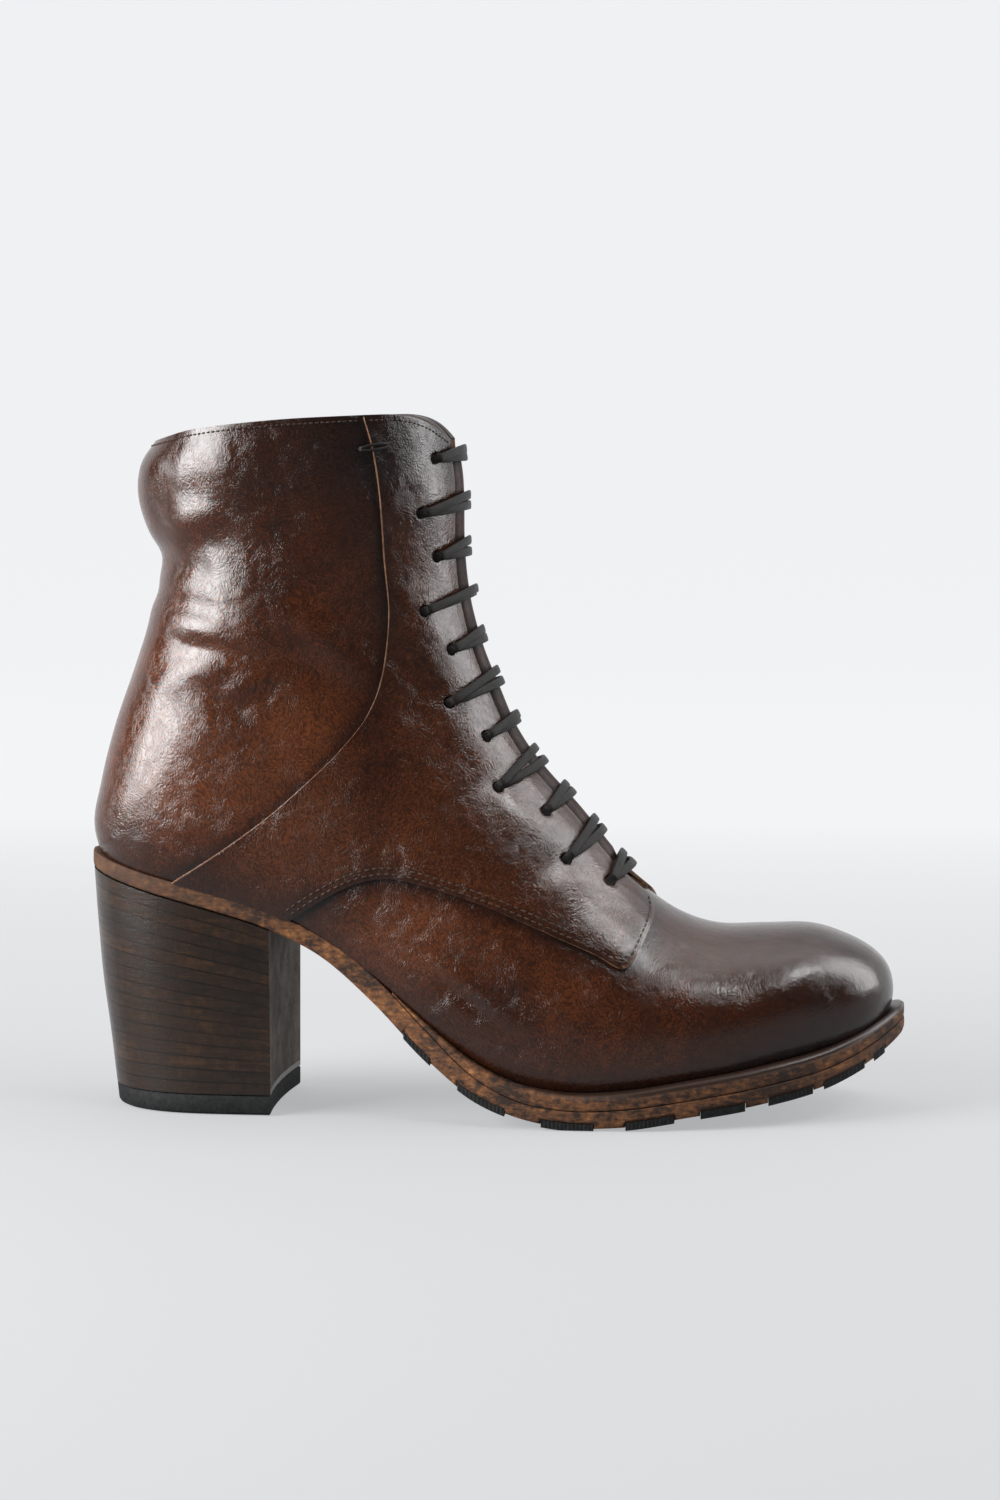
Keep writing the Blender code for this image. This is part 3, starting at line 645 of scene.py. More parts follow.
@dataclass(frozen=True)
class BurnishAndShade:
    """How dark the leather is painted, from 0 for its lightest to 1 for its darkest places: burnish
    polished in at the toe and along the edges, and painted shade in folds and beside the quarter's
    seams.
    """

    sole: SoleLines
    collar: CollarLine
    base: float = 0.34
    # From x, to x and how much darker.
    toe: Triple = (52.0, 112.0, 0.42)
    # Reach and how much darker, along the sole's and along the collar's edge.
    sole_edge: Pair = (7.0, 0.34)
    collar_edge: Pair = (8.0, 0.25)
    # x, z, reach along x, reach along z, how much darker. The dark patches at x -62, -46 and -34
    # and at the vamp's crease (x -2) lie in folds, in the crease and beside the rear seam, where
    # they are partly painted shade.
    patches: tuple = (
        (-48.0, 203.0, 24.0, 15.0, 0.36), (-24.0, 204.0, 13.0, 16.0, 0.36),
        (-112.0, 186.0, 16.0, 30.0, 0.12), (-100.0, 108.0, 26.0, 22.0, -0.22),
        (-58.0, 102.0, 26.0, 24.0, -0.22), (-62.0, 176.0, 9.0, 20.0, 0.30),
        (-46.0, 180.0, 9.0, 18.0, 0.14), (-76.0, 192.0, 8.0, 10.0, 0.22),
        (-20.0, 58.0, 34.0, 15.0, -0.22), (-92.0, 150.0, 20.0, 8.0, 0.08),
        (-34.0, 112.0, 10.0, 16.0, 0.20), (-2.0, 36.0, 12.0, 10.0, 0.24),
        (20.0, 62.0, 26.0, 16.0, 0.06), (64.0, 50.0, 22.0, 14.0, 0.16),
    )

    def at(self, points: Array, seams: list[tuple[Array, float, float]]) -> Array:
        """How dark the leather is at points.

        Args:
            points: The points.
            seams: Lines in the side view, each with its reach and how much darker it is there.

        Returns:
            The darkness.
        """
        x, z = points[..., 0], points[..., 2]
        dark = np.full(x.shape, self.base)
        for px, pz, reach_x, reach_z, more in self.patches:
            dark += more * np.exp(-(((x - px) / reach_x) ** 2) - ((z - pz) / reach_z) ** 2)
        start, end, more = self.toe
        dark += more * step(start, end, x)
        over_sole = z - self.sole.height(Layer.TOP, x)
        under_collar = self.collar.height(x) - z
        for gap, (reach, more) in ((over_sole, self.sole_edge), (under_collar, self.collar_edge)):
            dark += more * np.exp(-np.maximum(gap, 0) / reach)
        for line, reach, more in seams:
            dark += more * np.exp(-distance_to(line, points) / reach)
        return np.clip(dark, 0, 1)


def lay(bm: BMesh, points: Array, **fields: Array) -> None:
    """Adds a grid that is laid through a table of points, with values kept on its vertices.

    Args:
        bm: The mesh to add to.
        points: Rows by columns of points.
        fields: Tables of values by name.
    """
    kept = bm.verts.layers.float
    layers = [kept.get(name) or kept.new(name) for name in fields]
    rows, columns = points.shape[:2]
    made = bmesh.ops.create_grid(bm, x_segments=columns - 1, y_segments=rows - 1, size=1)["verts"]
    for vertex, point in zip(made, points.reshape(-1, 3)):
        vertex.co = point
    for layer, values in zip(layers, fields.values()):
        for vertex, value in zip(made, values.ravel()):
            vertex[layer] = value


def clean(bm: BMesh) -> None:
    """Merges a mesh's doubles and takes out its slivers."""
    bmesh.ops.remove_doubles(bm, verts=bm.verts[:], dist=MERGE)
    bmesh.ops.dissolve_degenerate(bm, edges=bm.edges[:], dist=SLIVER)


def stack(levels: list[Array], marks: list[float]) -> BMesh:
    """A solid through levels: the first one's grid, extruded to each next.

    Args:
        levels: Tables of points, all of one size.
        marks: A value for each level, kept on its vertices as "mark".

    Returns:
        The solid.
    """
    bm = bmesh.new()
    lay(bm, levels[0], mark=np.full(levels[0].shape[:2], marks[0]))
    clean(bm)
    layer = bm.verts.layers.float["mark"]
    corners = bm.verts[:]
    places = np.array([v.co for v in corners])
    first = levels[0].reshape(-1, 3)
    nearest = [int(np.argmin(np.linalg.norm(places - point, axis=1))) for point in first]
    order = [corners[index] for index in nearest]
    faces = bm.faces[:]
    for index, (level, mark) in enumerate(zip(levels[1:], marks[1:])):
        made = bmesh.ops.extrude_face_region(bm, geom=faces)["geom"]
        fresh = {tuple(v.co): v for v in made if isinstance(v, BMVert)}
        order = [fresh[tuple(v.co)] for v in order]
        if index:
            bmesh.ops.delete(bm, geom=faces, context="FACES")
        faces = [f for f in made if isinstance(f, BMFace)]
        for vertex, point in zip(order, level.reshape(-1, 3)):
            vertex.co = point
            vertex[layer] = mark
    return bm


def sweep(bm: BMesh, path: Array, width_axis: Array, profile: Array) -> None:
    """Adds a closed strand that follows a path.

    Args:
        bm: The mesh to add to.
        path: Points along the strand.
        width_axis: The direction of its width at each point.
        profile: The section's points, across its width and its thickness.
    """
    along = unit(np.gradient(path, axis=0))
    width_axis = unit(width_axis - along * (width_axis * along).sum(axis=1, keepdims=True))
    thick_axis = np.cross(along, width_axis)
    ring = np.vstack([profile, profile[:1]])
    wide = width_axis[:, None] * ring[None, :, :1]
    thick = thick_axis[:, None] * ring[None, :, 1:]
    before = set(bm.verts)
    lay(
        bm, path[:, None] + wide + thick,
        run=np.repeat(run_lengths(path)[:, None], len(ring), axis=1),
        across=np.repeat(ring[None, :, 0], len(path), axis=0),
    )
    made = [v for v in bm.verts if v not in before]
    bmesh.ops.remove_doubles(bm, verts=made, dist=MERGE_STRAND)
    ends = {e for v in bm.verts if v not in before for e in v.link_edges if e.is_boundary}
    bmesh.ops.holes_fill(bm, edges=list(ends), sides=0)


def oval(width: float, thickness: float, power: float, count: int = 12) -> Array:
    """A strand's section, rounded at its edges and flat on its faces.

    Args:
        width: Its width.
        thickness: Its thickness.
        power: How round it is, from 1 for an ellipse down to 0 for a box.
        count: How many points it has.

    Returns:
        The points.
    """
    turn = np.linspace(0, 2 * math.pi, count, endpoint=False)
    columns = [
        np.sign(wave) * np.abs(wave) ** power * size / 2
        for wave, size in ((np.cos(turn), width), (np.sin(turn), thickness))
    ]
    return np.column_stack(columns)


def to_object(name: str, bm: BMesh) -> Object:
    """Moves a mesh into a new object of the scene.

    Args:
        name: The object's name.
        bm: The mesh, which is freed.

    Returns:
        The object.
    """
    mesh = bpy.data.meshes.new(name)
    bm.to_mesh(mesh)
    bm.free()
    made = bpy.data.objects.new(name, mesh)
    bpy.context.scene.collection.objects.link(made)
    return made


def to_metres(bm: BMesh) -> None:
    """Points a mesh's faces outwards and brings it from millimetres to metres."""
    bmesh.ops.recalc_face_normals(bm, faces=bm.faces[:])
    bmesh.ops.scale(bm, vec=(MM, MM, MM), verts=bm.verts[:])


def piece(
    name: str, bm: BMesh, finishes: list[Material], slot: str, *nodes: str,
    flat: bool = False,
) -> Object:
    """Makes an object that rides on the boot from a mesh in millimetres.

    Args:
        name: The piece's name.
        bm: Its mesh.
        finishes: Its materials.
        slot: A material slot's name, which is not used.
        nodes: The solids that it stands for.
        flat: Whether its faces stay flat.

    Returns:
        The object.
    """
    clean(bm)
    to_metres(bm)
    for face in bm.faces:
        face.smooth = not flat
    made = to_object(name, bm)
    for finish in finishes:
        made.data.materials.append(finish)
    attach(made, BODY)
    if nodes:
        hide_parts(*nodes)
    LOG.info("%s: %d faces", name, len(made.data.polygons))
    return made


def round_edges(made: Object, width: float, angle: float, segments: int = 2) -> BevelModifier:
    """Rounds a piece's sharp edges.

    Args:
        made: The piece.
        width: How far the edges are rounded.
        angle: How sharp an edge has to be, in degrees.
        segments: How many faces round it.

    Returns:
        The modifier.
    """
    edge = made.modifiers.new("edge", "BEVEL")
    edge.width, edge.segments = width * MM, segments
    edge.limit_method, edge.angle_limit = "ANGLE", math.radians(angle)
    return edge


def thicken(
    made: Object, thickness: float, round_edge: float, lining: int = 0, rim: int = 0,
) -> None:
    """Gives a sheet its wall and rounds the wall's edges.

    Args:
        made: The sheet, whose faces point outwards.
        thickness: The wall, which goes inwards.
        round_edge: How far the edges are rounded.
        lining: Which material the inside has.
        rim: Which material the cut edge has.
    """
    wall = made.modifiers.new("wall", "SOLIDIFY")
    wall.thickness, wall.offset = thickness * MM, -1
    wall.material_offset, wall.material_offset_rim = lining, rim
    round_edges(made, round_edge, SHEET_ANGLE)


def settle(made: Object) -> None:
    """Applies a piece's modifiers to its mesh."""
    bpy.context.view_layer.update()
    graph = bpy.context.evaluated_depsgraph_get()
    mesh = bpy.data.meshes.new_from_object(made.evaluated_get(graph))
    made.modifiers.clear()
    made.data = mesh


def combine(made: Object, other: BMesh, operation: str) -> None:
    """Cuts a mesh from a piece or joins it on.

    Args:
        made: The piece.
        other: The mesh in millimetres.
        operation: The name of the Boolean operation.
    """
    to_metres(other)
    cutter = to_object("cutter", other)
    cut = made.modifiers.new("cut", "BOOLEAN")
    cut.operation, cut.object, cut.solver = operation, cutter, "EXACT"
    settle(made)
    bpy.data.objects.remove(cutter, do_unlink=True)


def punch(bm: BMesh, centres: Array, axes: Array, radius: float) -> None:
    """Opens round holes in a sheet.

    Args:
        bm: The sheet.
        centres: The holes' middles.
        axes: Their directions.
        radius: Their radius.
    """
    near, rim = 3 * radius, 1.9 * radius
    for centre, axis in zip(centres, axes):
        middle, way = Vector(centre), Vector(axis)

        def spoke(point: Vector) -> Vector:
            """From the hole's axis to a point."""
            return (point - middle) - way * (point - middle).dot(way)

        close = [f for f in bm.faces if (f.verts[0].co - middle).length < near]
        inside = [f for f in close if spoke(f.calc_center_median()).length < radius]
        bmesh.ops.delete(bm, geom=inside, context="FACES")
        for vertex in bm.verts:
            if vertex.is_boundary and (vertex.co - middle).length < rim:
                out = spoke(vertex.co)
                vertex.co += out.normalized() * (radius - out.length)


def face_out(bm: BMesh, *inside: float) -> None:
    """Turns an open sheet's faces away from a point.

    Args:
        bm: The sheet.
        inside: The point's x, y and z.
    """
    bmesh.ops.remove_doubles(bm, verts=bm.verts[:], dist=MERGE_SHEET)
    bmesh.ops.recalc_face_normals(bm, faces=bm.faces[:])
    point = Vector(inside)
    outward = (f.normal.dot(f.calc_center_median() - point) * f.calc_area() for f in bm.faces)
    if sum(outward) < 0:
        bmesh.ops.reverse_faces(bm, faces=bm.faces[:])


class Nodes:
    """Adds and joins the nodes of one tree."""

    def __init__(self, tree: NodeTree) -> None:
        """Keeps the tree."""
        self.tree = tree

    def add(self, kind: str, inputs: dict | None = None, **settings: object) -> Node:
        """Adds a node.

        Args:
            kind: The node's type, without the words that all shader nodes start with.
            inputs: For each input a value, or a socket that it is joined to.
            settings: The node's own settings.

        Returns:
            The node.
        """
        node = self.tree.nodes.new(kind if kind.startswith("NodeGroup") else f"ShaderNode{kind}")
        for name, value in settings.items():
            setattr(node, name, value)
        for name, value in (inputs or {}).items():
            if isinstance(value, Socket):
                self.tree.links.new(value, node.inputs[name])
            else:
                node.inputs[name].default_value = value
        return node

    def math(self, operation: str, *values: Value, clamp: bool = False) -> Socket:
        """The result of a sum on sockets and numbers."""
        inputs = dict(enumerate(values))
        return self.add("Math", inputs, operation=operation, use_clamp=clamp).outputs[0]

    def weigh(self, first: Value, share: float, second: Value, other_share: float) -> Socket:
        """Two values, each times its share, added."""
        one = self.math("MULTIPLY", first, share)
        return self.math("ADD", one, self.math("MULTIPLY", second, other_share))

    def swing(self, value: Value, amount: Value) -> Socket:
        """A value's way above or below a half, times an amount."""
        return self.math("MULTIPLY", self.math("SUBTRACT", value, 0.5), amount)

    def mix(self, share: Value, first: Value, second: Value, blend: str = "MIX") -> Socket:
        """Two colours mixed."""
        inputs = {0: share, 6: first, 7: second}
        return self.add("Mix", inputs, data_type="RGBA", blend_type=blend).outputs[2]

    def noise(
        self, vector: Socket, scale: Value, detail: float = 3.0, rough: float = 0.55,
    ) -> Socket:
        """Cloudy noise from 0 to 1."""
        inputs = {"Vector": vector, "Scale": scale, "Detail": detail, "Roughness": rough}
        return self.add("TexNoise", inputs).outputs[0]

    def span(self, value: Value, low: float, high: float, to: float, on_to: float) -> Socket:
        """A value moved from one range to another, and held within it."""
        return self.add("MapRange", dict(enumerate((value, low, high, to, on_to)))).outputs[0]

    def kept(self, name: str) -> Socket:
        """A value that is kept on the piece's vertices."""
        return self.add("Attribute", attribute_name=name).outputs["Fac"]

    def effect(self, tree: NodeTree, **inputs: Value) -> bpy.types.bpy_prop_collection:
        """The outputs of an effect that is placed with its inputs."""
        return self.add("Group", inputs, node_tree=tree).outputs

    def ramp(self, value: Socket, *stops: tuple[float, Colour]) -> Socket:
        """A colour read from a row of colour stops.

        Args:
            value: Where the row is read.
            stops: A position and a colour for each stop.

        Returns:
            The colour's socket.
        """
        node = self.add("ValToRGB", {0: value})
        elements = node.color_ramp.elements
        while len(elements) < len(stops):
            elements.new(0.5)
        for element, (position, colour) in zip(elements, stops):
            element.position, element.color = position, (*colour, 1.0)
        return node.outputs[0]


class EffectNodes(Nodes):
    """The nodes of a shader group."""

    def __init__(self, name: str, inputs: dict[str, str], outputs: tuple[str, ...]) -> None:
        """Starts the group.

        Args:
            name: The group's name.
            inputs: Each input's name and kind of socket.
            outputs: The names of its outputs, which are all values.
        """
        super().__init__(bpy.data.node_groups.new(name, "ShaderNodeTree"))
        for way, sockets in (("INPUT", inputs), ("OUTPUT", dict.fromkeys(outputs, "Float"))):
            for label, kind in sockets.items():
                kind = f"NodeSocket{kind}"
                self.tree.interface.new_socket(name=label, in_out=way, socket_type=kind)
        self.start = self.add("NodeGroupInput").outputs

    def close(self, **outputs: Socket) -> NodeTree:
        """Joins the outputs and gives the finished group."""
        self.add("NodeGroupOutput", outputs)
        return self.tree


class Effects:
    """Effects that several finishes share, each a shader group that is built once."""

    def __init__(self) -> None:
        """Builds the groups."""
        self.grain = self._grain()
        self.cloud = self._cloud()
        self.fibre = self._fibre()

    def _grain(self) -> NodeTree:
        """Wrinkled grain.

        Returns:
            A group that gives the height of the pebbles and a mask of the pits between them.
        """
        inputs = {"Vector": "Vector", "Scale": "Float"}
        n = EffectNodes("wrinkled grain", inputs, ("Height", "Pits"))
        vector, scale = n.start["Vector"], n.start["Scale"]
        wide = n.math("MULTIPLY", scale, 0.05)
        bend = n.add("TexNoise", {"Vector": vector, "Scale": wide, "Detail": 2.0})
        drift = n.add("VectorMath", {0: bend.outputs["Color"], "Scale": 0.012}, operation="SCALE")
        moved = n.add("VectorMath", {0: vector, 1: drift.outputs[0]}).outputs[0]
        long = n.add("Mapping", {
            "Vector": moved, "Rotation": (0.0, 0.7, 0.0), "Scale": (1.0, 0.8, 0.55),
        }).outputs[0]
        cells = n.add(
            "TexVoronoi", {"Vector": long, "Scale": scale, "Smoothness": 0.6}, feature="SMOOTH_F1",
        )
        fine = n.noise(long, n.math("MULTIPLY", scale, 1.3), 3.0, 0.6)
        rise = n.math("SUBTRACT", 1.0, cells.outputs["Distance"])
        height = n.weigh(rise, 0.7, fine, 0.8)
        return n.close(Height=height, Pits=n.span(height, 0.62, 1.0, 1.0, 0.0))

    def _cloud(self) -> NodeTree:
        """Hand-rubbed dye.

        Returns:
            A group that gives a darkness broken up by clouds, and the clouds.
        """
        inputs = {"Vector": "Vector", "Dark": "Float", "Amount": "Float"}
        n = EffectNodes("rubbed dye", inputs, ("Shade", "Cloud"))
        wide = n.noise(n.start["Vector"], 38.0, 4.0, 0.6)
        close = n.noise(n.start["Vector"], 240.0, 4.0, 0.65)
        cloud = n.weigh(wide, 0.65, close, 0.35)
        swing = n.swing(cloud, n.start["Amount"])
        return n.close(Shade=n.math("ADD", n.start["Dark"], swing, clamp=True), Cloud=cloud)

    def _fibre(self) -> NodeTree:
        """Cut leather.

        Returns:
            A group that gives the height of short fibres along the edge and the specks between.
        """
        inputs = {"Vector": "Vector", "Stretch": "Vector"}
        n = EffectNodes("cut fibres", inputs, ("Height", "Specks"))
        vector = n.start["Vector"]
        long = n.add("VectorMath", {0: vector, 1: n.start["Stretch"]}, operation="MULTIPLY")
        fibres = n.noise(long.outputs[0], 900.0, 5.0, 0.7)
        lumps = n.noise(vector, 420.0, 4.0, 0.6)
        specks = n.span(n.noise(vector, 700.0, 5.0, 0.75), 0.42, 0.62, 0.0, 1.0)
        return n.close(Height=n.weigh(fibres, 0.7, lumps, 0.5), Specks=specks)


class FinishNodes(Nodes):
    """The nodes of a material, with its shader and the object's coordinates."""

    def __init__(self, name: str) -> None:
        """Starts the material."""
        self.made = bpy.data.materials.new(name)
        self.made.use_nodes = True
        super().__init__(self.made.node_tree)
        self.shader = self.tree.nodes["Principled BSDF"]
        self.place = self.add("TexCoord").outputs["Object"]

    def along(self, axis: str) -> Socket:
        """How far along one of the object's axes a point is."""
        return self.add("SeparateXYZ", {0: self.place}).outputs[axis]

    def set(self, **constants: float) -> None:
        """Sets numbers on the shader's own sockets, named with low lines for spaces."""
        for name, value in constants.items():
            self.shader.inputs[name.replace("_", " ")].default_value = value

    def put(
        self, colour: Socket, rough: Socket, specular: float, *bumps: tuple[Socket, float, float],
    ) -> Material:
        """Joins colour, roughness and bumps to the shader.

        Args:
            colour: The base colour.
            rough: The roughness.
            specular: How strongly it mirrors.
            bumps: A height, a strength and a depth in millimetres for each bump.

        Returns:
            The finished material.
        """
        self.tree.links.new(colour, self.shader.inputs["Base Color"])
        self.tree.links.new(rough, self.shader.inputs["Roughness"])
        self.set(Specular_IOR_Level=specular)
        normal = {}
        for height, strength, depth in bumps:
            inputs = {"Height": height, "Strength": strength, "Distance": depth * MM, **normal}
            normal = {"Normal": self.add("Bump", inputs).outputs[0]}
        for name, socket in normal.items():
            self.tree.links.new(socket, self.shader.inputs[name])
        return self.made


@dataclass(frozen=True)
class BurnishedLeather:
    """Grained calf leather, dyed by hand and polished darker along its edges, with painted shade in
    its folds and beside the seams and a painted highlight along the quarter's rounded edges.
    """

    effects: Effects
    name: str
    light: Colour = (0.064, 0.0178, 0.0056)
    middle: Colour = (0.0250, 0.0066, 0.0023)
    dark: Colour = (0.0082, 0.0041, 0.0033)
    # Pale tan of the painted highlight along the quarter's rounded rear edge and tab edge.
    worn: Colour = (0.185, 0.092, 0.056)
    stops: Triple = (0.08, 0.48, 0.95)
    cloudy: float = 1.2
    contrast: float = 0.44
    rough: Pair = (0.17, 0.23)
    rough_pits: float = 0.05
    grain_scale: float = 1950.0
    grain_depth: float = 0.115
    ripple_scale: float = 95.0
    ripple: float = 0.42
    # Where along x the grain is drawn smooth over the toe, and how much of it is left there.
    smooth_from: Pair = (0.060, 0.108)
    smooth_left: float = 0.6
    specular: float = 0.48
    coat: float = 0.17
    coat_rough: float = 0.14

    def make(self) -> Material:
        """Builds the material, which is dark where it is burnished and where shade is painted, and
        pale where a painted highlight lies along a rounded edge.

        Returns:
            The material.
        """
        n = FinishNodes(self.name)
        # Darkness kept on the vertices: burnish, with painted shade in folds and beside the seams.
        burnish = n.kept("burnish")
        dye = n.effect(self.effects.cloud, Vector=n.place, Dark=burnish, Amount=self.cloudy)
        grain = n.effect(self.effects.grain, Vector=n.place, Scale=self.grain_scale)
        open_grain = n.span(n.along("X"), *self.smooth_from, 1.0, self.smooth_left)
        pits = n.swing(grain["Pits"], open_grain)
        tone = n.ramp(dye["Shade"], *zip(self.stops, (self.light, self.middle, self.dark)))
        rubbed = n.span(pits, -0.5, 0.5, 1.0 + self.contrast, 1.0 - self.contrast)
        colour = n.mix(1.0, tone, rubbed, "MULTIPLY")
        # Painted highlight along the quarter's rounded edges, where the vertices are marked.
        worn = n.span(n.kept("worn"), 0.45, 0.95, 0.0, 0.85)
        colour = n.mix(worn, colour, (*self.worn, 1.0))
        rough = n.span(dye["Cloud"], 0.3, 0.7, *self.rough)
        rough = n.math("ADD", rough, n.math("MULTIPLY", pits, self.rough_pits))
        ripple = n.noise(n.place, self.ripple_scale, 3.0, 0.5)
        pebbles = n.math("MULTIPLY", grain["Height"], open_grain)
        n.set(Coat_Weight=self.coat, Coat_Roughness=self.coat_rough)
        bumps = (ripple, 0.8, self.ripple), (pebbles, 1.0, self.grain_depth)
        return n.put(colour, rough, self.specular, *bumps)


@dataclass(frozen=True)
class PlainLeather:
    """Undyed or plainly dyed leather: linings, insole, tongue and cut edges."""

    effects: Effects
    name: str
    light: Colour
    dark: Colour
    rough: Pair = (0.55, 0.80)
    folded: Colour = (0.014, 0.007, 0.005)
    grain_scale: float = 1500.0
    grain_depth: float = 0.06
    specular: float = 0.3

    def make(self) -> Material:
        """Builds the material, which is dark where an edge is marked as folded.

        Returns:
            The material.
        """
        n = FinishNodes(self.name)
        grain = n.effect(self.effects.grain, Vector=n.place, Scale=self.grain_scale)
        cloud = n.noise(n.place, 120.0, 4.0, 0.6)
        shade = n.math("ADD", cloud, n.math("MULTIPLY", grain["Pits"], 0.3))
        colour = n.ramp(shade, (0.3, self.light), (0.85, self.dark))
        folded = n.span(n.kept("folded"), 0.1, 0.6, 0.0, 1.0)
        colour = n.mix(folded, colour, (*self.folded, 1.0))
        rough = n.span(cloud, 0.3, 0.7, *self.rough)
        return n.put(colour, rough, self.specular, (grain["Height"], 0.6, self.grain_depth))


@dataclass(frozen=True)
class EdgeLeather:
    """The sole's cut leather: fibrous at its sides, dark and polished on top of the welt."""

    effects: Effects
    name: str
    top: Colour
    light: Colour = (0.300, 0.132, 0.043)
    middle: Colour = (0.126, 0.049, 0.016)
    dark: Colour = (0.016, 0.007, 0.004)
    stops: Triple = (0.46, 0.60, 0.76)
    stretch: Triple = (0.35, 0.35, 1.0)
    speckled: float = 0.38
    rough: Pair = (0.30, 0.82)
    depth: float = 0.30
    specular: float = 0.30
    # Ranges of x: where the top is rubbed bare, and where the toe's and the heel's cut is stained.
    rubbed: Pair = (-0.005, 0.050)
    toe: Pair = (0.050, 0.115)
    heel: Pair = (-0.120, -0.060)

    def make(self) -> Material:
        """Builds the material, whose mark is 0 on the polished top and 1 on the cut sides.

        Returns:
            The material.
        """
        n = FinishNodes(self.name)
        top, dark = (*self.top, 1.0), (*self.dark, 1.0)
        fibre = n.effect(self.effects.fibre, Vector=n.place, Stretch=self.stretch)
        stain = n.noise(n.place, 70.0, 4.0, 0.6)
        shade = n.weigh(fibre["Height"], 0.75, stain, 0.45)
        cut = n.ramp(shade, *zip(self.stops, (self.light, self.middle, self.dark)))
        cut = n.mix(n.math("MULTIPLY", fibre["Specks"], self.speckled), cut, dark)
        along = n.along("X")
        worn = n.math("ADD", n.kept("mark"), n.swing(stain, 0.5))
        worn = n.math("ADD", worn, n.span(along, *self.rubbed, 0.8, 0.0))
        side = n.span(worn, 0.35, 0.75, 0.0, 1.0)
        toe, heel = n.span(along, *self.toe, 0.0, 0.30), n.span(along, *self.heel, 0.75, 0.0)
        cut = n.mix(n.math("ADD", toe, heel), cut, top)
        colour = n.mix(side, top, cut)
        rough = n.span(side, 0.0, 1.0, *self.rough)
        height = n.math("MULTIPLY", fibre["Height"], n.span(side, 0.0, 1.0, 0.25, 1.0))
        return n.put(colour, rough, self.specular, (height, 0.9, self.depth))


@dataclass(frozen=True)
class StackedLeather:
    """The heel's layers of leather: a line between each two and worn, stained sides."""

    effects: Effects
    name: str
    light: Colour = (0.036, 0.0178, 0.0088)
    middle: Colour = (0.0145, 0.0076, 0.0046)
    dark: Colour = (0.0042, 0.0028, 0.0022)
    line: Colour = (0.0018, 0.0014, 0.0012)
    stops: Triple = (0.36, 0.54, 0.72)
    stretch: Triple = (0.06, 0.06, 1.0)
    wander: float = 0.12
    uneven: float = 0.10
    rough: Pair = (0.18, 0.34)
    specular: float = 0.42

    def make(self) -> Material:
        """Builds the material, whose mark counts the layers on the way down.

        Returns:
            The material.
        """
        n = FinishNodes(self.name)
        fibre = n.effect(self.effects.fibre, Vector=n.place, Stretch=self.stretch)
        wander = n.swing(n.noise(n.place, 70.0, 2.0), self.wander)
        level = n.math("ADD", n.kept("mark"), wander)
        gap = n.math("PINGPONG", level, 0.5)
        faint = n.span(n.noise(n.place, 50.0, 3.0), 0.35, 0.65, 0.55, 1.0)
        line = n.math("MULTIPLY", n.span(gap, 0.03, 0.11, 1.0, 0.0), faint)
        layer = n.add("TexWhiteNoise", {"W": n.math("FLOOR", level)}, noise_dimensions="1D")
        stain = n.noise(n.place, 60.0, 4.0, 0.65)
        shade = n.weigh(fibre["Height"], 0.62, stain, 0.36)
        shade = n.math("ADD", shade, n.swing(layer.outputs["Value"], self.uneven))
        tone = n.ramp(shade, *zip(self.stops, (self.light, self.middle, self.dark)))
        colour = n.mix(n.math("MULTIPLY", line, 0.85), tone, (*self.line, 1.0))
        rough = n.span(shade, 0.3, 0.8, *self.rough)
        bumps = (fibre["Height"], 0.6, 0.14), (n.math("SUBTRACT", 1.0, line), 0.3, 0.04)
        return n.put(colour, rough, self.specular, *bumps)


@dataclass(frozen=True)
class Rubber:
    """Black rubber with fine ribs and grey scuffs."""

    effects: Effects
    name: str
    tone: Colour = (0.0045, 0.0048, 0.0052)
    scuff: Colour = (0.020, 0.020, 0.020)
    scuffed: float = 0.4
    rib_scale: float = 260.0
    ribs: float = 0.35
    rough: Pair = (0.55, 0.8)
    specular: float = 0.14

    def make(self) -> Material:
        """Builds the material.

        Returns:
            The material.
        """
        n = FinishNodes(self.name)
        fibre = n.effect(self.effects.fibre, Vector=n.place, Stretch=(1.0, 1.0, 1.0))
        wave = {"Vector": n.place, "Scale": self.rib_scale, "Distortion": 0.4}
        rib = n.add("TexWave", wave, bands_direction="X").outputs["Fac"]
        worn = n.math("MULTIPLY", fibre["Specks"], self.scuffed)
        colour = n.mix(worn, (*self.tone, 1.0), (*self.scuff, 1.0))
        rough = n.span(fibre["Height"], 0.3, 0.8, *self.rough)
        bumps = (rib, self.ribs, 0.3), (fibre["Height"], 0.4, 0.15)
        return n.put(colour, rough, self.specular, *bumps)


@dataclass(frozen=True)
class WaxedCord:
    """Flat waxed cotton: a fine diagonal weave under dark wax."""

    name: str
    light: Colour = (0.0100, 0.0076, 0.0064)
    dark: Colour = (0.0020, 0.0017, 0.0016)
    pitch: float = 0.9
    slant: float = 1.6
    rough: Pair = (0.32, 0.50)
    specular: float = 0.18

    def make(self) -> Material:
        """Builds the material, which reads how far along and across the cord a point is.

        Returns:
            The material.
        """
        n = FinishNodes(self.name)
        run, across = n.kept("run"), n.kept("across")
        waves = []
        for sign in ("ADD", "SUBTRACT"):
            slant = n.math(sign, run, n.math("MULTIPLY", across, self.slant))
            waves.append(n.math("SINE", n.math("MULTIPLY", slant, 2 * math.pi / self.pitch)))
        weave = n.math("MAXIMUM", *waves)
        wax = n.noise(n.place, 600.0, 4.0, 0.65)
        shade = n.math("ADD", n.math("MULTIPLY", weave, 0.16), wax)
        colour = n.ramp(shade, (0.35, self.dark), (0.8, self.light))
        rough = n.span(wax, 0.3, 0.7, *self.rough)
        return n.put(colour, rough, self.specular, (weave, 0.5, 0.12), (wax, 0.4, 0.12))


